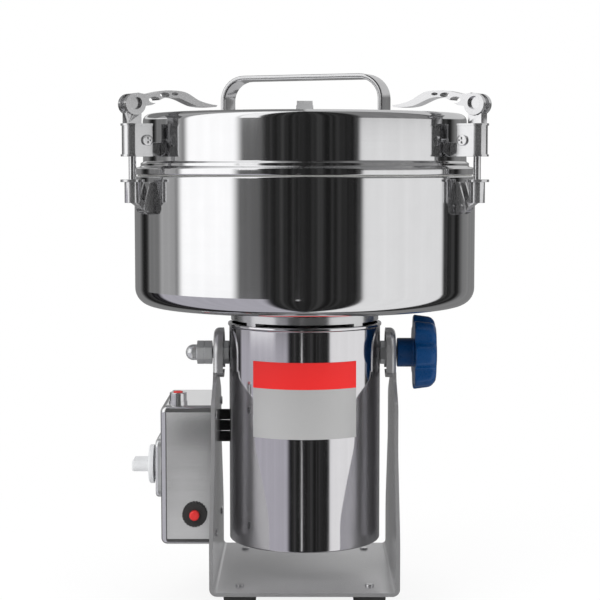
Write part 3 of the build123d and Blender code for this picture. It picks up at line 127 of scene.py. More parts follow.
class Paint:
    """A node tree with one method that makes any node."""

    def __init__(self, tree: bpy.types.NodeTree) -> None:
        """Empties the tree.

        Args:
            tree: the node tree of a material or of the world.
        """
        self.tree = tree
        tree.nodes.clear()

    def node(self, kind: str, settings: Optional[dict[str, Any]] = None,
             sockets: Optional[dict[Any, Any]] = None, output: Union[int, str] = 0) -> Wire:
        """Makes a node, sets it and joins its inputs.

        Args:
            kind: the node's type.
            settings: attributes that are set first; "stops" holds a ramp's places and colours.
            sockets: values or wires for the inputs, by name or number.
            output: which output the wire stands for.

        Returns:
            The chosen output.
        """
        made = self.tree.nodes.new(kind)
        for key, value in (settings or {}).items():
            if key == "stops":
                self._stops(made.color_ramp, value)
            else:
                setattr(made, key, value)
        for key, value in (sockets or {}).items():
            self.join(made.inputs[key], value)
        return Wire(self, made.outputs[output])

    @staticmethod
    def _stops(ramp: bpy.types.ColorRamp, stops: Sequence[tuple[float, float]]) -> None:
        """Sets a ramp of greys.

        Args:
            ramp: the ramp to set.
            stops: pairs of place and grey value.
        """
        while len(ramp.elements) < len(stops):
            ramp.elements.new(1.0)
        for element, (place, grey) in zip(ramp.elements, stops):
            element.position = place
            element.color = (grey, grey, grey, 1.0)

    def join(self, socket: bpy.types.NodeSocket, value: Any) -> None:
        """Links a wire to an input, or sets the input's own value.

        Args:
            socket: the input.
            value: a wire, a number, a colour or a vector.
        """
        if isinstance(value, Wire):
            self.tree.links.new(value.socket, socket)
        elif isinstance(value, tuple) and len(value) == 3 and socket.type == "RGBA":
            socket.default_value = (*value, 1.0)
        else:
            socket.default_value = value

    def axes(self) -> tuple[Wire, Wire, Wire]:
        """The three Object coordinates, in metres.

        Returns:
            Wires of x, y and z.
        """
        place = self.node("ShaderNodeTexCoord", output="Object")
        split = self.node("ShaderNodeSeparateXYZ", None, {0: place})
        outputs = split.socket.node.outputs
        return tuple(Wire(self, outputs[i]) for i in range(3))

    def noise(self, vector: Wire, scale: float, detail: float = 2.0, roughness: float = 0.5) -> Wire:
        """Noise between 0 and 1.

        Args:
            vector: where it is read.
            scale: waves per unit of the vector.
            detail: octaves.
            roughness: weight of the finer octaves.

        Returns:
            The noise's value.
        """
        sockets = {"Vector": vector, "Scale": scale, "Detail": detail, "Roughness": roughness}
        return self.node("ShaderNodeTexNoise", None, sockets)

    def vector(self, x: Value, y: Value, z: Value) -> Wire:
        """A vector made of three values."""
        return self.node("ShaderNodeCombineXYZ", None, {0: x, 1: y, 2: z})

    def mix(self, factor: Value, first: Any, second: Any) -> Wire:
        """A colour between two colours.

        Args:
            factor: 0 gives the first colour, 1 the second.
            first: a colour or a wire.
            second: a colour or a wire.

        Returns:
            The mixed colour.
        """
        settings = {"data_type": "RGBA", "clamp_factor": True}
        return self.node("ShaderNodeMix", settings, {0: factor, 6: first, 7: second}, output=2)

    def ramp(self, value: Wire, *stops: tuple[float, float]) -> Wire:
        """A value carried through a ramp of greys."""
        return self.node("ShaderNodeValToRGB", {"stops": stops}, {0: value})

    def bump(self, height: Wire, strength: float, distance: float) -> Wire:
        """A normal that follows a height.

        Args:
            height: the relief, from 0 to 1.
            strength: how much of it shows.
            distance: its depth in metres.

        Returns:
            The normal.
        """
        sockets = {"Strength": strength, "Distance": distance, "Height": height}
        return self.node("ShaderNodeBump", None, sockets)


class SurfacePaint(Paint):
    """The tree of one material, with its Principled shader."""

    def __init__(self, name: str) -> None:
        """Makes an empty material.

        Args:
            name: the material's name.
        """
        self.material = bpy.data.materials.new(name)
        self.material.use_nodes = True
        super().__init__(self.material.node_tree)
        out = self.tree.nodes.new("ShaderNodeOutputMaterial")
        self.shader = self.tree.nodes.new("ShaderNodeBsdfPrincipled")
        self.tree.links.new(self.shader.outputs[0], out.inputs["Surface"])

    def dress(self, **sockets: Any) -> bpy.types.Material:
        """Sets the shader's sockets, named with underscores for spaces.

        Args:
            sockets: values or wires.

        Returns:
            The finished material.
        """
        for key, value in sockets.items():
            self.join(self.shader.inputs[key.replace("_", " ")], value)
        return self.material


class Grain(Enum):
    """How the fine lines of a metal surface run."""

    TURNED = "round the motor axis"
    UPRIGHT = "up and down"
    LEVEL = "level, along both sides"
    CAST = "no lines, a pebbled skin"


@dataclass(frozen=True)
class Metal:
    """A metal finish with its grain, smudges and small changes of gloss.

    Args:
        name: the material's name.
        tint: colour of the bare metal.
        rough: roughness of clean metal.
        spread: how much the grain changes the roughness.
        smudge: how much soft smears add to the roughness.
        relief: depth of the grain in metres.
        grain: how the lines run.
        metallic: how much of the surface is bare metal, the rest being a pale, scattering skin.
    """

    name: str
    tint: Colour
    rough: float
    spread: float
    smudge: float
    relief: float
    grain: Grain
    metallic: float = 1.0

    FINE = 1500.0
    LONG = 5.0
    PEBBLES = 500.0
    LINE_DETAIL = 3.0
    LINE_ROUGHNESS = 0.6
    SMEAR_WAVES = 22.0
    SMEAR_DETAIL = 4.0
    SMEAR_ROUGHNESS = 0.62
    SMEAR_STOPS = ((0.42, 0.0), (0.78, 1.0))
    CLOUD_WAVES = 60.0
    CLOUD_DETAIL = 3.0
    CLOUD_SHARE = 0.5
    LINE_SHARE = 0.3
    DARKER = 0.9
    BUMP = 0.35

    def lines(self, paint: Paint) -> Wire:
        """Noise drawn out into fine lines: fast across the grain and slow along it.

        Args:
            paint: the tree to add to.

        Returns:
            The grain's height, from 0 to 1.
        """
        x, y, z = paint.axes()
        if self.grain is Grain.TURNED:
            radius = (x * x + y * y) ** 0.5
            vector = paint.vector(radius * self.FINE, z * self.FINE, (x + y) * self.LONG)
        elif self.grain is Grain.UPRIGHT:
            vector = paint.vector(x * self.FINE, y * self.FINE, z * self.LONG)
        elif self.grain is Grain.LEVEL:
            vector = paint.vector(x * self.LONG, y * self.LONG, z * self.FINE)
        else:
            vector = paint.vector(x * self.PEBBLES, y * self.PEBBLES, z * self.PEBBLES)
        return paint.noise(vector, 1.0, self.LINE_DETAIL, self.LINE_ROUGHNESS)

    def material(self) -> bpy.types.Material:
        """Builds the material.

        Returns:
            A metal whose roughness and relief follow its grain and smears.
        """
        paint = SurfacePaint(self.name)
        lines = self.lines(paint)
        place = paint.node("ShaderNodeTexCoord", output="Object")
        smears = paint.noise(place, self.SMEAR_WAVES, self.SMEAR_DETAIL, self.SMEAR_ROUGHNESS)
        smears = paint.ramp(smears, *self.SMEAR_STOPS)
        clouds = paint.noise(place, self.CLOUD_WAVES, self.CLOUD_DETAIL)
        rough = self.rough + (lines - 0.5) * self.spread + smears * self.smudge
        darker = tuple(channel * self.DARKER for channel in self.tint)
        tint = paint.mix(clouds * self.CLOUD_SHARE + lines * self.LINE_SHARE, self.tint, darker)
        return paint.dress(Base_Color=tint, Metallic=self.metallic, Roughness=rough,
                           Normal=paint.bump(lines, self.BUMP, self.relief))


@dataclass(frozen=True)
class Moulding:
    """A moulded plastic or rubber with a pebbled skin and worn high spots.

    Args:
        name: the material's name.
        tint: main colour.
        fleck: colour of the small flecks and dust.
        rough: roughness of the skin.
        pebble: size of the pebbles, as waves per metre.
        relief: depth of the pebbles in metres.
        coat: weight of a clear gloss over it.
        shine: how much white light the skin itself throws back.
    """

    name: str
    tint: Colour
    fleck: Colour
    rough: float
    pebble: float
    relief: float
    coat: float
    shine: float = 0.5

    PEBBLE_DETAIL = 3.0
    PEBBLE_SHARE = 0.12
    PEBBLE_ROUGH = 0.16
    DUST_COARSER = 18.0
    DUST_DETAIL = 5.0
    DUST_ROUGHNESS = 0.65
    DUST_STOPS = ((0.5, 0.0), (0.8, 1.0))
    DUST_SHARE = 0.35
    DUST_ROUGH = 0.1
    COAT_ROUGH = 0.08
    BUMP = 0.4

    def material(self) -> bpy.types.Material:
        """Builds the material.

        Returns:
            A plastic whose colour, gloss and relief vary a little.
        """
        paint = SurfacePaint(self.name)
        place = paint.node("ShaderNodeTexCoord", output="Object")
        pebbles = paint.noise(place, self.pebble, self.PEBBLE_DETAIL)
        dust = paint.noise(place, self.pebble / self.DUST_COARSER, self.DUST_DETAIL, self.DUST_ROUGHNESS)
        dust = paint.ramp(dust, *self.DUST_STOPS)
        tint = paint.mix(dust * self.DUST_SHARE + pebbles * self.PEBBLE_SHARE, self.tint, self.fleck)
        rough = self.rough + (pebbles - 0.5) * self.PEBBLE_ROUGH + dust * self.DUST_ROUGH
        return paint.dress(Base_Color=tint, Roughness=rough, Specular_IOR_Level=self.shine, Coat_Weight=self.coat,
                           Coat_Roughness=self.COAT_ROUGH, Normal=paint.bump(pebbles, self.BUMP, self.relief))


@dataclass(frozen=True)
class RatingPrint:
    """The bare rating plate: a coloured band over a silver field, with no words on it.

    Args:
        name: the material's name.
        band: colour of the upper band.
        field: colour of the silver field.
        band_z: height where the band starts, in metres.
    """

    name: str
    band: Colour
    field: Colour
    band_z: float

    MOTTLE_WAVES = 900.0
    MOTTLE_DETAIL = 2.0
    WEAR_WAVES = 40.0
    WEAR_DETAIL = 4.0
    FIELD_SHARES = (0.3, 0.2)
    FIELD_DARKER = 0.86
    FIELD_METAL = 0.25
    BAND_SHARE = 0.25
    BAND_DARKER = 0.8
    ROUGH = 0.5
    ROUGH_SPREAD = 0.14
    COAT = 0.04
    COAT_ROUGH = 0.2
    BUMP = 0.15
    RELIEF = 2e-5

    def material(self) -> bpy.types.Material:
        """Builds the material.

        Returns:
            A printed foil that keeps a soft metal gloss in its field.
        """
        paint = SurfacePaint(self.name)
        x, y, z = paint.axes()
        place = paint.node("ShaderNodeTexCoord", output="Object")
        ink = z > self.band_z
        mottle = paint.noise(place, self.MOTTLE_WAVES, self.MOTTLE_DETAIL)
        wear = paint.noise(place, self.WEAR_WAVES, self.WEAR_DETAIL)
        by_mottle, by_wear = self.FIELD_SHARES
        darker = tuple(channel * self.FIELD_DARKER for channel in self.field)
        field = paint.mix(mottle * by_mottle + wear * by_wear, self.field, darker)
        deeper = tuple(channel * self.BAND_DARKER for channel in self.band)
        band = paint.mix(mottle * self.BAND_SHARE, self.band, deeper)
        return paint.dress(Base_Color=paint.mix(ink, field, band), Metallic=self.FIELD_METAL - ink * self.FIELD_METAL,
                           Roughness=self.ROUGH + (wear - 0.5) * self.ROUGH_SPREAD, Coat_Weight=self.COAT,
                           Coat_Roughness=self.COAT_ROUGH, Normal=paint.bump(mottle, self.BUMP, self.RELIEF))


class Finish(Enum):
    """The finishes of the grinder, each built once when it is first asked for."""

    MIRROR = Metal("mirror_stainless", (0.82, 0.82, 0.83), 0.075, 0.04, 0.02, 1.0e-6, Grain.TURNED)
    TUBE = Metal("drawn_stainless", (0.80, 0.79, 0.81), 0.08, 0.04, 0.03, 1.0e-6, Grain.UPRIGHT)
    BOX = Metal("polished_sheet", (0.80, 0.80, 0.81), 0.07, 0.03, 0.02, 5.0e-7, Grain.LEVEL, 0.92)
    HANDLE = Metal("polished_bar", (0.72, 0.72, 0.73), 0.12, 0.05, 0.03, 1.0e-6, Grain.LEVEL)
    SATIN = Metal("satin_stainless", (0.66, 0.66, 0.67), 0.25, 0.04, 0.02, 1.0e-6, Grain.LEVEL, 0.72)
    BRIGHT = Metal("bright_plated_steel", (0.75, 0.75, 0.76), 0.13, 0.05, 0.03, 1.0e-5, Grain.CAST, 0.92)
    CASTING = Metal("polished_casting", (0.72, 0.72, 0.73), 0.17, 0.06, 0.04, 1.4e-5, Grain.CAST, 0.9)
    DARK = Metal("blackened_steel", (0.13, 0.13, 0.13), 0.42, 0.1, 0.08, 6.0e-6, Grain.CAST)
    IRON = Metal("motor_iron", (0.30, 0.30, 0.31), 0.5, 0.1, 0.08, 6.0e-6, Grain.LEVEL)
    COPPER = Metal("enamelled_copper", (0.16, 0.07, 0.035), 0.5, 0.12, 0.06, 1.2e-5, Grain.TURNED)
    BRASS = Metal("turned_brass", (0.78, 0.60, 0.30), 0.24, 0.1, 0.06, 3.0e-6, Grain.UPRIGHT)
    SILVER = Metal("chromed_plate", (0.78, 0.79, 0.80), 0.12, 0.05, 0.05, 2.0e-6, Grain.UPRIGHT, 0.65)
    RUBBER = Moulding("black_rubber", (0.022, 0.022, 0.023), (0.09, 0.09, 0.09), 0.62, 900.0, 4e-5, 0.0)
    SILICONE = Moulding("white_silicone", (0.80, 0.80, 0.77), (0.62, 0.62, 0.58), 0.5, 700.0, 2e-5, 0.0)
    BLACK = Moulding("black_plastic", (0.014, 0.014, 0.015), (0.05, 0.05, 0.05), 0.42, 1100.0, 2e-5, 0.0)
    BLUE = Moulding("blue_phenolic", (0.0005, 0.042, 0.15), (0.003, 0.06, 0.19), 0.28, 1000.0, 1.5e-5, 0.05, 0.3)
    GREY = Moulding("grey_plastic", (0.33, 0.36, 0.36), (0.28, 0.31, 0.30), 0.36, 1000.0, 1.5e-5, 0.1)
    RED = Moulding("red_plastic", (0.70, 0.0015, 0.0015), (0.74, 0.012, 0.01), 0.45, 1100.0, 1e-5, 0.02, 0.15)
    RATING = RatingPrint("bare_rating_print", (0.86, 0.006, 0.005), (0.50, 0.50, 0.50), 0.1797)

    def material(self) -> bpy.types.Material:
        """The finish's material, made on first use.

        Returns:
            The one material of this finish.
        """
        found = bpy.data.materials.get(self.value.name)
        return found or self.value.material()


def rounded(corners: Sequence[tuple[float, float]], radii: Sequence[float], closed: bool = True) -> np.ndarray:
    """An outline whose corners are arcs.

    Each arc's centre lies on the bisector of its corner, at radius / sin(half the corner's angle).

    Args:
        corners: the sharp corners.
        radii: one radius for each corner, 0 for a sharp one.
        closed: whether the last corner joins the first; if not, the two ends stay as they are.

    Returns:
        The points as an array of two columns.
    """
    places = np.array(corners, float)
    count = len(places)
    runs = []
    for i, radius in enumerate(radii):
        at_end = not closed and i in (0, count - 1)
        if radius <= 0 or at_end:
            runs.append(places[i:i + 1])
            continue
        back = places[i - 1] - places[i]
        ahead = places[(i + 1) % count] - places[i]
        back /= np.linalg.norm(back)
        ahead /= np.linalg.norm(ahead)
        half = math.acos(float(np.clip(back @ ahead, -1, 1))) / 2
        middle = back + ahead
        centre = places[i] + middle / np.linalg.norm(middle) * radius / math.sin(half)
        first = places[i] + back * radius / math.tan(half) - centre
        last = places[i] + ahead * radius / math.tan(half) - centre
        start = math.atan2(first[1], first[0])
        sweep = (math.atan2(last[1], last[0]) - start + math.pi) % (2 * math.pi) - math.pi
        turn = start + sweep * np.linspace(0, 1, ARC_STEPS)
        runs.append(centre + radius * np.stack([np.cos(turn), np.sin(turn)], 1))
    return np.concatenate(runs)


def grid_faces(rows: int, columns: int, wrap_rows: bool, wrap_columns: bool) -> np.ndarray:
    """Quads of a grid of points, joined round where it wraps.

    Args:
        rows: points along the first parameter.
        columns: points along the second parameter.
        wrap_rows: whether the last row joins the first.
        wrap_columns: whether the last column joins the first.

    Returns:
        Four point numbers for each quad.
    """
    row, column = np.meshgrid(np.arange(rows - (not wrap_rows)), np.arange(columns - (not wrap_columns)),
                              indexing="ij")
    next_row = (row + 1) % rows
    next_column = (column + 1) % columns
    quads = [row * columns + column, row * columns + next_column, next_row * columns + next_column,
             next_row * columns + column]
    return np.stack(quads, -1).reshape(-1, 4)


def braced(outline: np.ndarray, closed: bool) -> np.ndarray:
    """Adds a point near both ends of each long run, so that smooth shading leaves straight walls straight.

    Args:
        outline: points of the outline in millimetres, one row each.
        closed: whether its last point joins its first.

    Returns:
        The outline with the added points.
    """
    runs = np.roll(outline, -1, 0) - outline
    points = []
    for i, (start, run) in enumerate(zip(outline, runs)):
        points.append(start)
        length = np.linalg.norm(run)
        if length > LONG_RUN and (closed or i < len(outline) - 1):
            points += [start + run * BRACE / length, start + run * (1 - BRACE / length)]
    return np.array(points)


def turned(outline: np.ndarray, closed: bool) -> tuple[np.ndarray, list]:
    """A surface turned about Z: radius and height of the outline at every angle.

    Args:
        outline: radius and height, in millimetres.
        closed: whether the outline is a loop; if not, it starts and ends on the axis.

    Returns:
        Points in millimetres and faces.
    """
    outline = braced(outline, closed)
    angle = np.linspace(0, 2 * math.pi, AROUND, endpoint=False)
    radius = outline[:, :1]
    points = np.stack([radius * np.cos(angle), radius * np.sin(angle),
                       np.repeat(outline[:, 1:], AROUND, 1)], -1)
    faces = grid_faces(len(outline), AROUND, closed, True)
    return points.reshape(-1, 3), faces.tolist()


def carried(section: np.ndarray, stations: np.ndarray) -> tuple[np.ndarray, list]:
    """A closed section carried through stations, with flat ends.

    Args:
        section: points of the closed outline, one row each.
        stations: for each station, the three-dimensional place of every section point.

    Returns:
        Points and faces, the end caps among them.
    """
    count = len(section)
    rows = len(stations)
    faces = grid_faces(rows, count, False, True).tolist()
    faces.append(list(range(count))[::-1])
    faces.append([(rows - 1) * count + i for i in range(count)])
    return stations.reshape(-1, 3), faces


def turn_about_z(points: np.ndarray, degrees: float) -> np.ndarray:
    """Points turned about the motor axis."""
    c, s = math.cos(math.radians(degrees)), math.sin(math.radians(degrees))
    return points @ np.array([[c, s, 0.0], [-s, c, 0.0], [0.0, 0.0, 1.0]])


def clean(mesh: bpy.types.Mesh) -> None:
    """Merges doubled points, turns faces outwards and keeps sharp edges sharp.

    Args:
        mesh: the mesh to clean.
    """
    work = bmesh.new()
    work.from_mesh(mesh)
    bmesh.ops.remove_doubles(work, verts=work.verts, dist=MERGE_DISTANCE)
    bmesh.ops.dissolve_degenerate(work, edges=work.edges, dist=MERGE_DISTANCE)
    bmesh.ops.recalc_face_normals(work, faces=work.faces)
    work.to_mesh(mesh)
    work.free()
    mesh.shade_smooth()
    mesh.set_sharp_from_angle(angle=SHARP_ANGLE)


def add_piece(name: str, points: np.ndarray, faces: list, body: Optional[str], finish: Finish,
              stands_for: Sequence[str] = ()) -> bpy.types.Object:
    """Adds one piece of the grinder.

    Args:
        name: the piece's name.
        points: its points in millimetres, in the grinder's frame.
        faces: its faces.
        body: the body that it rides on, or none, which leaves the piece unattached.
        finish: what it is finished in.
        stands_for: the nodes that it replaces.

    Returns:
        The new object.
    """
    mesh = bpy.data.meshes.new(name)
    mesh.from_pydata((points * MM).tolist(), [], faces)
    clean(mesh)
    return place_piece(name, mesh, body, finish, stands_for)


def place_piece(name: str, mesh: bpy.types.Mesh, body: Optional[str], finish: Finish,
                stands_for: Sequence[str]) -> bpy.types.Object:
    """Links a finished mesh as a piece.

    Args:
        name: the piece's name.
        mesh: its mesh.
        body: the body that it rides on, or none, which leaves the piece unattached.
        finish: what it is finished in.
        stands_for: the nodes that it replaces.

    Returns:
        The new object.
    """
    made = bpy.data.objects.new(name, mesh)
    bpy.context.scene.collection.objects.link(made)
    mesh.materials.clear()
    mesh.materials.append(finish.material())
    if body:
        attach(made, body)
    if stands_for:
        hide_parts(*stands_for)
    LOG.info("piece %s rides on %s", name, body)
    return made


def round_edges(piece: bpy.types.Object, width: float) -> None:
    """Rounds a piece's sharp edges with a bevel.

    Args:
        piece: the piece.
        width: the bevel's width in millimetres.
    """
    bevel = piece.modifiers.new("rounded_edges", "BEVEL")
    bevel.width = width * MM
    bevel.segments = BEVEL_FACETS
    bevel.limit_method = "ANGLE"
    bevel.angle_limit = SHARP_ANGLE
    bevel.harden_normals = True


def eased(node: str, body: str, finish: Finish, width: float) -> bpy.types.Object:
    """A copy of a node with its points merged and its sharp edges rounded, which stands for it.

    Args:
        node: the node.
        body: the body that it rides on.
        finish: what it is finished in.
        width: the rounding's width in millimetres.

    Returns:
        The new object.
    """
    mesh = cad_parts[node].data.copy()
    mesh.name = f"{node}_eased"
    work = bmesh.new()
    work.from_mesh(mesh)
    bmesh.ops.remove_doubles(work, verts=work.verts, dist=MERGE_DISTANCE)
    bmesh.ops.dissolve_limit(work, angle_limit=FLAT_ANGLE, verts=work.verts, edges=work.edges)
    work.to_mesh(mesh)
    work.free()
    mesh.shade_smooth()
    mesh.set_sharp_from_angle(angle=SHARP_ANGLE)
    made = place_piece(f"{node}_eased", mesh, body, finish, [node])
    round_edges(made, width)
    return made


def dress(finish: Finish, *nodes: str) -> None:
    """Gives nodes that keep their shape a finish.

    Args:
        finish: the finish.
        nodes: the nodes' names.
    """
    for node in nodes:
        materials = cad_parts[node].data.materials
        materials.clear()
        materials.append(finish.material())
        LOG.info("node %s in %s", node, finish.value.name)


@dataclass
class GrindingBowl:
    """The bowl under the lid, in millimetres."""

    radius: float = 138.5
    low: float = 243.0
    high: float = 347.5
    wall: float = 2.5
    corner: float = 14.0
    lip: float = 1.1
    bore: float = 12.5

    def build(self) -> None:
        """Turns the bowl's wall: up the outside, over the lip, down the inside and across the floor."""
        floor = self.low + self.wall
        inside = self.radius - self.wall
        corners = [(self.bore, self.low), (self.radius, self.low), (self.radius, self.high),
                   (inside, self.high), (inside, floor), (self.bore, floor)]
        radii = [0, self.corner, self.lip, self.lip, self.corner - self.wall, 0]
        points, faces = turned(rounded(corners, radii), True)
        add_piece("bowl_shell", points, faces, "grinder", Finish.MIRROR, ["bowl"])


@dataclass
class LidCover:
    """The lid's pressed cover, in millimetres, and its three lugs."""

    low: float = 348.4
    high: float = 397.0
    radius: float = 131.4
    band_radius: float = 137.7
    band_high: float = 5.6
    bead_high: float = 4.7
    wall: float = 2.0
    edge: float = 6.0
    soft: float = 0.9
    band_soft: float = 1.44
    lip_soft: float = 0.45
    lug_edge: float = 0.6

    def outline(self) -> np.ndarray:
        """The lid's half section, from the axis over the top, round the rim and back under.

        Returns:
            Radius and height of each point.
        """
        band_top = self.low + self.band_high
        bead_top = band_top + self.bead_high
        inside = self.radius - self.wall
        under = self.high - self.wall
        neck = self.radius + self.wall
        corners = [(0, self.high), (self.radius, self.high), (self.radius, bead_top),
                   (neck, bead_top - self.wall / 2), (neck, band_top + self.wall / 2),
                   (self.band_radius, band_top), (self.band_radius, self.low), (inside, self.low),
                   (inside, under), (0, under)]
        radii = [0, self.edge, self.soft, self.soft, self.soft, self.band_soft, self.soft, self.lip_soft,
                 self.edge - self.wall, 0]
        return rounded(corners, radii, closed=False)

    def build(self) -> None:
        """Turns the cover and softens the lugs round it."""
        points, faces = turned(self.outline(), False)
        add_piece("lid_cover", points, faces, "lid", Finish.MIRROR, ["lid_shell"])
        eased("lid_lugs", "lid", Finish.BRIGHT, self.lug_edge)


@dataclass
class LidHandle:
    """The flat bar bent into a grip, in millimetres."""

    long: float = 140.0
    wide: float = 22.4
    thick: float = 4.0
    foot_z: float = 397.0
    top_z: float = 429.0
    bend: float = 20.0
    turn: float = -21.0
    edge: float = 1.2
    weld: float = 1.6
    weld_steps: int = 6

    def build(self) -> None:
        """Carries a rounded bar section along the bent middle line."""
        half = self.long / 2 - self.thick / 2
        top = self.top_z - self.thick / 2
        line = rounded([(-half, self.foot_z), (-half, top), (half, top), (half, self.foot_z)],
                       [0, self.bend - self.thick / 2, self.bend - self.thick / 2, 0], closed=False)
        run = np.gradient(line, axis=0)
        run /= np.linalg.norm(run, axis=1, keepdims=True)
        normal = np.stack([-run[:, 1], run[:, 0]], 1)
        a, b = self.thick / 2, self.wide / 2
        section = rounded([(-a, -b), (a, -b), (a, b), (-a, b)], [self.edge] * 4)
        shift = section[None, :, :1] * normal[:, None, :]
        place = line[:, None, :] + shift
        across = np.broadcast_to(section[None, :, 1], place.shape[:2])
        stations = np.stack([place[..., 0], across, place[..., 1]], -1)
        points, faces = carried(section, stations)
        add_piece("handle_bar", turn_about_z(points, self.turn), faces, "lid", Finish.HANDLE,
                  ["lid_handle"])
        for side in (-1, 1):
            self.build_weld(side * half, "left" if side < 0 else "right")

    def build_weld(self, middle: float, label: str) -> None:
        """A small weld bead round one foot of the handle.

        Args:
            middle: the foot's place along the handle.
            label: which end it is.
        """
        a, b = self.thick / 2, self.wide / 2
        loop = rounded([(-a, -b), (a, -b), (a, b), (-a, b)], [self.edge] * 4)
        outward = loop / np.array([a, b])
        outward /= np.linalg.norm(outward, axis=1, keepdims=True)
        angle = np.linspace(0, math.pi / 2, self.weld_steps)
        reach = self.weld * (1 - np.sin(angle))
        rise = self.weld * (1 - np.cos(angle))
        rings = loop[None] + outward[None] * reach[:, None, None]
        rings[..., 0] += middle
        level = np.broadcast_to((self.foot_z + rise)[:, None, None], rings.shape[:2] + (1,))
        points = np.concatenate([rings, level], -1)
        points, faces = carried(loop, points)
        add_piece(f"handle_weld_{label}", turn_about_z(points, self.turn), faces, "lid", Finish.CASTING)


@dataclass
class MotorTube:
    """The housing tube with its lip and rolled foot, in millimetres."""

    radius: float = 62.0
    wall: float = 2.0
    low: float = 49.0
    high: float = 228.0
    lip: float = 1.0
    lip_high: float = 2.0
    lip_slope: float = 1.5
    soft: tuple[float, ...] = (0.3, 1.2, 0.6, 0.5, 0.6, 0.3)

    def build(self) -> None:
        """Turns the tube's wall."""
        inside = self.radius - self.wall
        out = self.radius + self.lip
        slope_z = self.high - self.lip_high * self.lip_slope
        corners = [(inside, self.low), (self.radius, self.low), (self.radius, slope_z),
                   (out, self.high - self.lip_high), (out, self.high), (inside, self.high)]
        points, faces = turned(rounded(corners, list(self.soft)), True)
        add_piece("housing_tube", points, faces, "grinder", Finish.TUBE, ["motor_housing"])


@dataclass
class TiltKnob:
    """The lobed hand knob on the right trunnion, in millimetres."""

    pivot_z: float = 202.5
    hub_start: float = 76.0
    hub_end: float = 89.5
    end: float = 107.3
    hub_radius: float = 11.9
    rim_radius: float = 31.25
    end_radius: float = 28.8
    corner: float = 7.0
    soft: tuple[float, float, float] = (0.8, 1.5, 1.4)
    lobes: int = 7
    valley_share: float = 0.17
    valley_power: float = 2.2
    valley_start: float = 1.15
    rim_power: float = 1.5

    def build(self) -> None:
        """Carries a half section round the X axis; its radius dips in each valley, more so near the rim."""
        corners = [(0, self.hub_start), (self.hub_radius, self.hub_start), (self.hub_radius, self.hub_end),
                   (self.rim_radius, self.hub_end), (self.end_radius, self.end), (0, self.end)]
        section = rounded(corners, [0, *self.soft, self.corner, 0], closed=False)
        angle = np.linspace(0, 2 * math.pi, AROUND, endpoint=False)
        wave = (0.5 + 0.5 * np.cos(self.lobes * angle)) ** self.valley_power
        start = self.hub_radius * self.valley_start
        near_rim = np.clip((section[:, 0] - start) / (self.rim_radius - start), 0, 1) ** self.rim_power
        radius = section[:, :1] * (1 - self.valley_share * near_rim[:, None] * wave[None])
        points = np.stack([np.repeat(section[:, 1:], AROUND, 1), radius * np.cos(angle),
                           self.pivot_z + radius * np.sin(angle)], -1)
        faces = grid_faces(len(section), AROUND, False, True).tolist()
        add_piece("knob_head", points.reshape(-1, 3), faces, "tilt_knob", Finish.BLUE, ["tilt_knob"])


@dataclass
class Clamps:
    """The three clamps: castings and forgings with softened edges."""

    sides: tuple[str, str, str] = ("rear", "left", "right")
    edge: float = 0.5
    lever_edge: float = 0.8
    ear_edge: float = 0.3

    def build(self) -> None:
        """Softens the castings and dresses rods, ears and pins."""
        for side in self.sides:
            eased(f"{side}_cam_lever", f"{side}_lever", Finish.CASTING, self.lever_edge)
            eased(f"{side}_clamp_yoke", f"{side}_clamp", Finish.BRIGHT, self.edge)
            eased(f"{side}_clamp_link", f"{side}_clamp", Finish.CASTING, self.edge)
            dress(Finish.BRIGHT, f"{side}_clamp_rod")
        eased("clamp_brackets", "grinder", Finish.BRIGHT, self.ear_edge)
        dress(Finish.BRIGHT, "hinge_pins")


@dataclass
class Stand:
    """The bent stand with its feet, screws and switch box."""

    edge: float = 0.4

    def build(self) -> None:
        """Softens the sheet's cut edges and dresses what it carries."""
        eased("base_bracket", "base", Finish.SATIN, self.edge)
        dress(Finish.RUBBER, "rubber_feet")
        dress(Finish.BRIGHT, "base_screws", "button_bezel")
        dress(Finish.BOX, "switch_box")
        dress(Finish.SILVER, "switch_plate")
        dress(Finish.BLACK, "rotary_switch", "breaker_body", "breaker_ring", "start_switch", "power_gland")
        dress(Finish.GREY, "switch_knob")
        dress(Finish.RED, "start_button", "reset_button")


@dataclass
class Motor:
    """What is in and on the housing: trunnions, collar, windings, blades."""

    edge: float = 0.5
    collar_edge: float = 0.3

    def build(self) -> None:
        """Dresses every piece of the motor and the spindle."""
        for node in ("trunnion_nuts", "dome_nut"):
            eased(node, "grinder", Finish.SILVER, self.edge)
        eased("vent_collar", "grinder", Finish.CASTING, self.collar_edge)
        dress(Finish.RATING, "rating_plate")
        dress(Finish.BRIGHT, "trunnion_studs", "housing_screws", "shaft_bearings", "motor_shaft")
        dress(Finish.TUBE, "bottom_cover")
        dress(Finish.CASTING, "lower_end_bell", "cooling_fan")
        dress(Finish.IRON, "stator_core", "armature_core")
        dress(Finish.COPPER, "field_coils", "armature_winding", "commutator")
        dress(Finish.BRASS, "brush_holders", "knob_insert")
        dress(Finish.DARK, "carbon_brushes")
        dress(Finish.SILICONE, "shaft_seal", "lid_gasket")
        dress(Finish.HANDLE, "lower_blade", "upper_blade", "blade_spacer", "blade_nut")


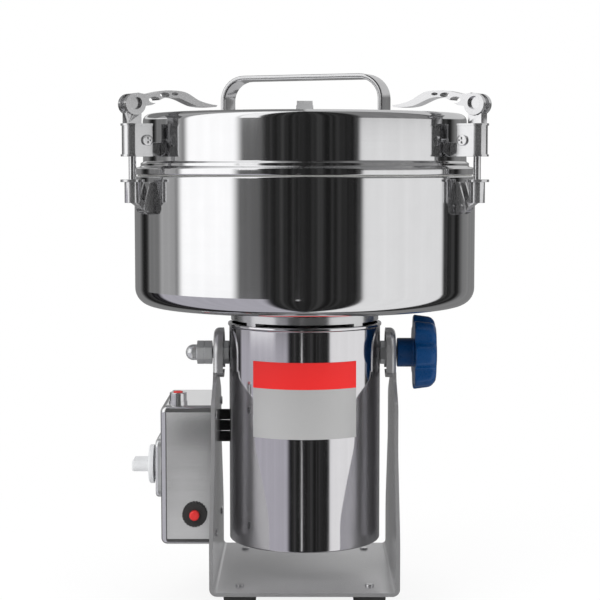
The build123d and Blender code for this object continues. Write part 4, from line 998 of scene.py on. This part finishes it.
@dataclass
class MotorLead:
    """The three sleeved cores from the arm into the housing, in millimetres."""

    start: float = -74.5
    end: float = -62.3
    lead_y: float = 30.0
    middle_z: float = 137.0
    step: float = 9.3
    radius: float = 4.5
    edge: float = 2.0
    facets: int = 48

    def build(self) -> None:
        """Turns each core about its own line and leaves all three, which reach from stand to motor, on no body."""
        corners = [(self.start, 0), (self.start, self.radius), (self.end, self.radius), (self.end, 0)]
        outline = rounded(corners, [0, self.edge, self.edge, 0], closed=False)
        angle = np.linspace(0, 2 * math.pi, self.facets, endpoint=False)
        along = np.repeat(outline[:, :1], len(angle), 1)
        core = np.stack([along, outline[:, 1:] * np.cos(angle), outline[:, 1:] * np.sin(angle)], -1).reshape(-1, 3)
        faces = grid_faces(len(outline), len(angle), False, True)
        heights = self.middle_z + self.step * np.array([-1.0, 0.0, 1.0])
        points = np.concatenate([core + np.array([0.0, self.lead_y, z]) for z in heights])
        every = np.concatenate([faces + i * len(core) for i in range(len(heights))]).tolist()
        lead = add_piece("lead_cores", points, every, None, Finish.RUBBER, ["motor_lead"])
        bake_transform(lead)


@dataclass(frozen=True)
class Panel:
    """A soft panel of the studio, as the polished steel shows it.

    Args:
        low: where it starts round the object, in degrees from the camera's side, positive to the right.
        high: where it ends.
        soft: width of its fading edges in degrees.
        level: brightness.
        from_rise: lowest upward part of a direction that sees it.
        to_rise: highest upward part of a direction that sees it.
        edge: half the height of its fading top and bottom edges.
    """

    low: float
    high: float
    soft: float
    level: float
    from_rise: float = -1.1
    to_rise: float = 1.1
    edge: float = 0.008


@dataclass(frozen=True)
class Lamp:
    """A square lamp over the grinder.

    Args:
        name: its name.
        place: where it hangs, in metres.
        side: its side in metres.
        power: its power in watts.
    """

    name: str
    place: tuple[float, float, float]
    side: float
    power: float

    AIM = (0.0, 0.0, 0.22)

    def build(self) -> None:
        """Hangs the lamp and points it at the middle of the grinder; polished steel doesn't show it."""
        data = bpy.data.lights.new(self.name, "AREA")
        data.size = self.side
        data.energy = self.power
        lamp = bpy.data.objects.new(self.name, data)
        lamp.location = self.place
        aim = Vector(self.AIM) - Vector(self.place)
        lamp.rotation_euler = aim.to_track_quat("-Z", "Y").to_euler()
        lamp.visible_glossy = False
        bpy.context.scene.collection.objects.link(lamp)


@dataclass
class Studio:
    """A white room with soft panels that show in the polished steel.

    The panels come in this order: the right wall, dimmer over the lid; the back walls, low and high; the left wall as
    bowl and lid show it; the left wall as the tube shows it; the handle's strip; and a narrow strip beside the camera
    for the switch box. The three rises part what the tube, the lid and the handle, and the back walls show.
    """

    TUBE_RISE = -0.1
    LID_RISE = 0.037
    BACK_RISE = 0.12

    floor_side: float = 8.0
    floor_tint: Colour = (0.9, 0.9, 0.9)
    floor_white: float = 0.85
    floor_fade: tuple[float, float] = (0.2, 0.5)
    ambient: float = 0.75
    dim: float = 0.01
    cool: Colour = (0.93, 0.91, 1.0)
    cool_from: float = -126.0
    cool_to: float = -20.0
    streak: float = 0.12
    streak_noise: tuple[float, float, float] = (0.16, 4.0, 0.7)
    streak_span: tuple[float, float] = (0.45, 0.85)
    lamps: tuple[Lamp, ...] = (Lamp("key_lamp", (-0.9, -1.1, 1.5), 1.0, 14.0),
                               Lamp("fill_lamp", (1.2, -0.9, 0.9), 0.9, 7.0),
                               Lamp("top_lamp", (0.1, 0.3, 1.8), 1.2, 9.0))
    panels: tuple[Panel, ...] = (
        Panel(38, 104, 4, 0.84, to_rise=LID_RISE, edge=0.004), Panel(38, 104, 4, 0.2, from_rise=LID_RISE, edge=0.004),
        Panel(128, 200, 12, 0.2, to_rise=BACK_RISE), Panel(-200, -143, 8, 0.2, to_rise=BACK_RISE),
        Panel(110, 200, 12, 0.6, from_rise=BACK_RISE, edge=0.03), Panel(-200, -110, 12, 0.7, BACK_RISE, 0.2),
        Panel(-200, -110, 12, 0.18, from_rise=0.2),
        Panel(-91, -46, 8, 1.2, from_rise=TUBE_RISE), Panel(-45, -29, 10, 0.12, from_rise=TUBE_RISE),
        Panel(-112, -94, 5, 0.36, from_rise=TUBE_RISE), Panel(-128, -112, 6, 0.18, from_rise=TUBE_RISE),
        Panel(-113, -25, 6, 0.46, to_rise=TUBE_RISE), Panel(-45, -31, 3, 0.95, from_rise=0.048, edge=0.004),
        Panel(-5.4, -3.3, 0.2, 0.66, -0.25, -0.215, 0.006), Panel(-5.4, -3.3, 0.2, 0.48, -0.215, -0.172, 0.006),
        Panel(-5.4, -4.7, 0.3, 0.5, -0.172, -0.15, 0.002), Panel(-5.4, -3.3, 0.2, 0.75, -0.15, -0.105, 0.002))

    def build(self) -> None:
        """Makes the floor, the world and the lamps."""
        self.build_floor()
        self.build_world()
        for lamp in self.lamps:
            lamp.build()

    @staticmethod
    def seen(paint: Paint) -> tuple[Wire, Wire]:
        """Which rays see a thing as the camera does, and which see it in polished metal.

        Args:
            paint: the tree to add to.

        Returns:
            One for camera or transmitted rays, and one for glossy rays.
        """
        outputs = paint.node("ShaderNodeLightPath").socket.node.outputs
        kinds = ("Camera", "Glossy", "Transmission")
        camera, glossy, through = (Wire(paint, outputs[f"Is {kind} Ray"]) for kind in kinds)
        plain = paint.node("ShaderNodeMath", {"operation": "ADD", "use_clamp": True}, {0: camera, 1: through})
        return plain, glossy

    def build_floor(self) -> None:
        """A wide floor that looks white and keeps a soft shadow."""
        half = self.floor_side / 2
        mesh = bpy.data.meshes.new("studio_floor")
        mesh.from_pydata([(-half, -half, 0), (half, -half, 0), (half, half, 0), (-half, half, 0)], [], [(0, 1, 2, 3)])
        floor = bpy.data.objects.new("studio_floor", mesh)
        bpy.context.scene.collection.objects.link(floor)
        material = bpy.data.materials.new("studio_floor")
        material.use_nodes = True
        paint = Paint(material.node_tree)
        plain, glossy = self.seen(paint)
        x, y, z = paint.axes()
        away = self.fade(paint, (x * x + y * y) ** 0.5, *self.floor_fade)
        share = paint.node("ShaderNodeMath", {"operation": "ADD", "use_clamp": True}, {0: plain, 1: glossy})
        share = share * (self.floor_white + away * (1.0 - self.floor_white))
        matte = paint.node("ShaderNodeBsdfDiffuse", None, {"Color": self.floor_tint})
        glow = paint.node("ShaderNodeEmission", None, {"Color": (1.0, 1.0, 1.0), "Strength": 1.0})
        mixed = paint.node("ShaderNodeMixShader", None, {0: share, 1: matte, 2: glow})
        paint.join(paint.tree.nodes.new("ShaderNodeOutputMaterial").inputs["Surface"], mixed)
        mesh.materials.append(material)
        floor.visible_glossy = False

    @staticmethod
    def fade(paint: Paint, value: Wire, start: float, end: float) -> Wire:
        """A smooth step from 0 to 1.

        Args:
            paint: the tree to add to.
            value: what steps.
            start: the value where the step starts.
            end: the value where it ends.

        Returns:
            The step.
        """
        settings = {"interpolation_type": "SMOOTHSTEP"}
        return paint.node("ShaderNodeMapRange", settings, {0: value, 1: start, 2: end, 3: 0.0, 4: 1.0})

    def panel_mask(self, paint: Paint, panel: Panel, around: Wire, rise: Wire) -> Wire:
        """How much of a panel a direction sees.

        Args:
            paint: the world's tree.
            panel: the panel.
            around: the direction's angle round the object, in degrees.
            rise: the direction's upward part.

        Returns:
            The panel's brightness there.
        """
        half, edge = panel.soft / 2, panel.edge
        sides = self.fade(paint, around, panel.low - half, panel.low + half)
        sides = sides * (1.0 - self.fade(paint, around, panel.high - half, panel.high + half))
        level = self.fade(paint, rise, panel.from_rise - edge, panel.from_rise + edge)
        under = 1.0 - self.fade(paint, rise, panel.to_rise - edge, panel.to_rise + edge)
        return sides * level * under * panel.level

    def build_world(self) -> None:
        """White to the camera, panels in the steel, and one plain level for soft light."""
        world = bpy.data.worlds.new("studio")
        world.use_nodes = True
        bpy.context.scene.world = world
        paint = Paint(world.node_tree)
        way = paint.node("ShaderNodeTexCoord", output="Generated")
        parts = paint.node("ShaderNodeSeparateXYZ", None, {0: way}).socket.node.outputs
        x, y, rise = (Wire(paint, parts[i]) for i in range(3))
        around = paint.node("ShaderNodeMath", {"operation": "ARCTAN2"}, {0: x, 1: y * -1.0}) * math.degrees(1.0)
        shown = self.panel_mask(paint, self.panels[0], around, rise)
        for panel in self.panels[1:]:
            shown = shown + self.panel_mask(paint, panel, around, rise)
        streaks = paint.noise(paint.vector(around, 0.0, 0.0), *self.streak_noise)
        first, last = self.streak_span
        shown = shown + self.dim + paint.ramp(streaks, (first, 0.0), (last, self.streak))
        plain, glossy = self.seen(paint)
        strength = plain + glossy * shown + (1.0 - plain - glossy) * self.ambient
        left = (around < self.cool_to) * (around > self.cool_from) * (rise < self.TUBE_RISE) * glossy
        colour = paint.mix(left, (1.0, 1.0, 1.0), self.cool)
        sky = paint.node("ShaderNodeBackground", None, {"Color": colour, "Strength": strength})
        paint.join(paint.tree.nodes.new("ShaderNodeOutputWorld").inputs["Surface"], sky)


@dataclass
class Viewpoint:
    """Where the photo was taken from: millimetres for the lens, metres and degrees for the place."""

    lens: float = 96.0
    sensor: float = 36.0
    place: tuple[float, float, float] = (0.0, -1.311, 0.353)
    down: float = 4.68
    left: float = 0.168

    def build(self) -> None:
        """Puts the camera there."""
        data = bpy.data.cameras.new("camera")
        data.lens = self.lens
        data.sensor_width = self.sensor
        camera = bpy.data.objects.new("camera", data)
        camera.location = self.place
        camera.rotation_euler = (math.radians(90.0 - self.down), 0.0, math.radians(self.left))
        bpy.context.scene.collection.objects.link(camera)
        bpy.context.scene.camera = camera


def main() -> None:
    """Builds the looks of the grinder."""
    logging.basicConfig(level=logging.INFO)
    for group in (GrindingBowl(), LidCover(), LidHandle(), MotorTube(), TiltKnob(), Clamps(), Stand(), Motor(),
                  MotorLead(), Studio(), Viewpoint()):
        group.build()
    bpy.context.scene.view_settings.view_transform = "Standard"


if __name__ == "__main__":
    main()
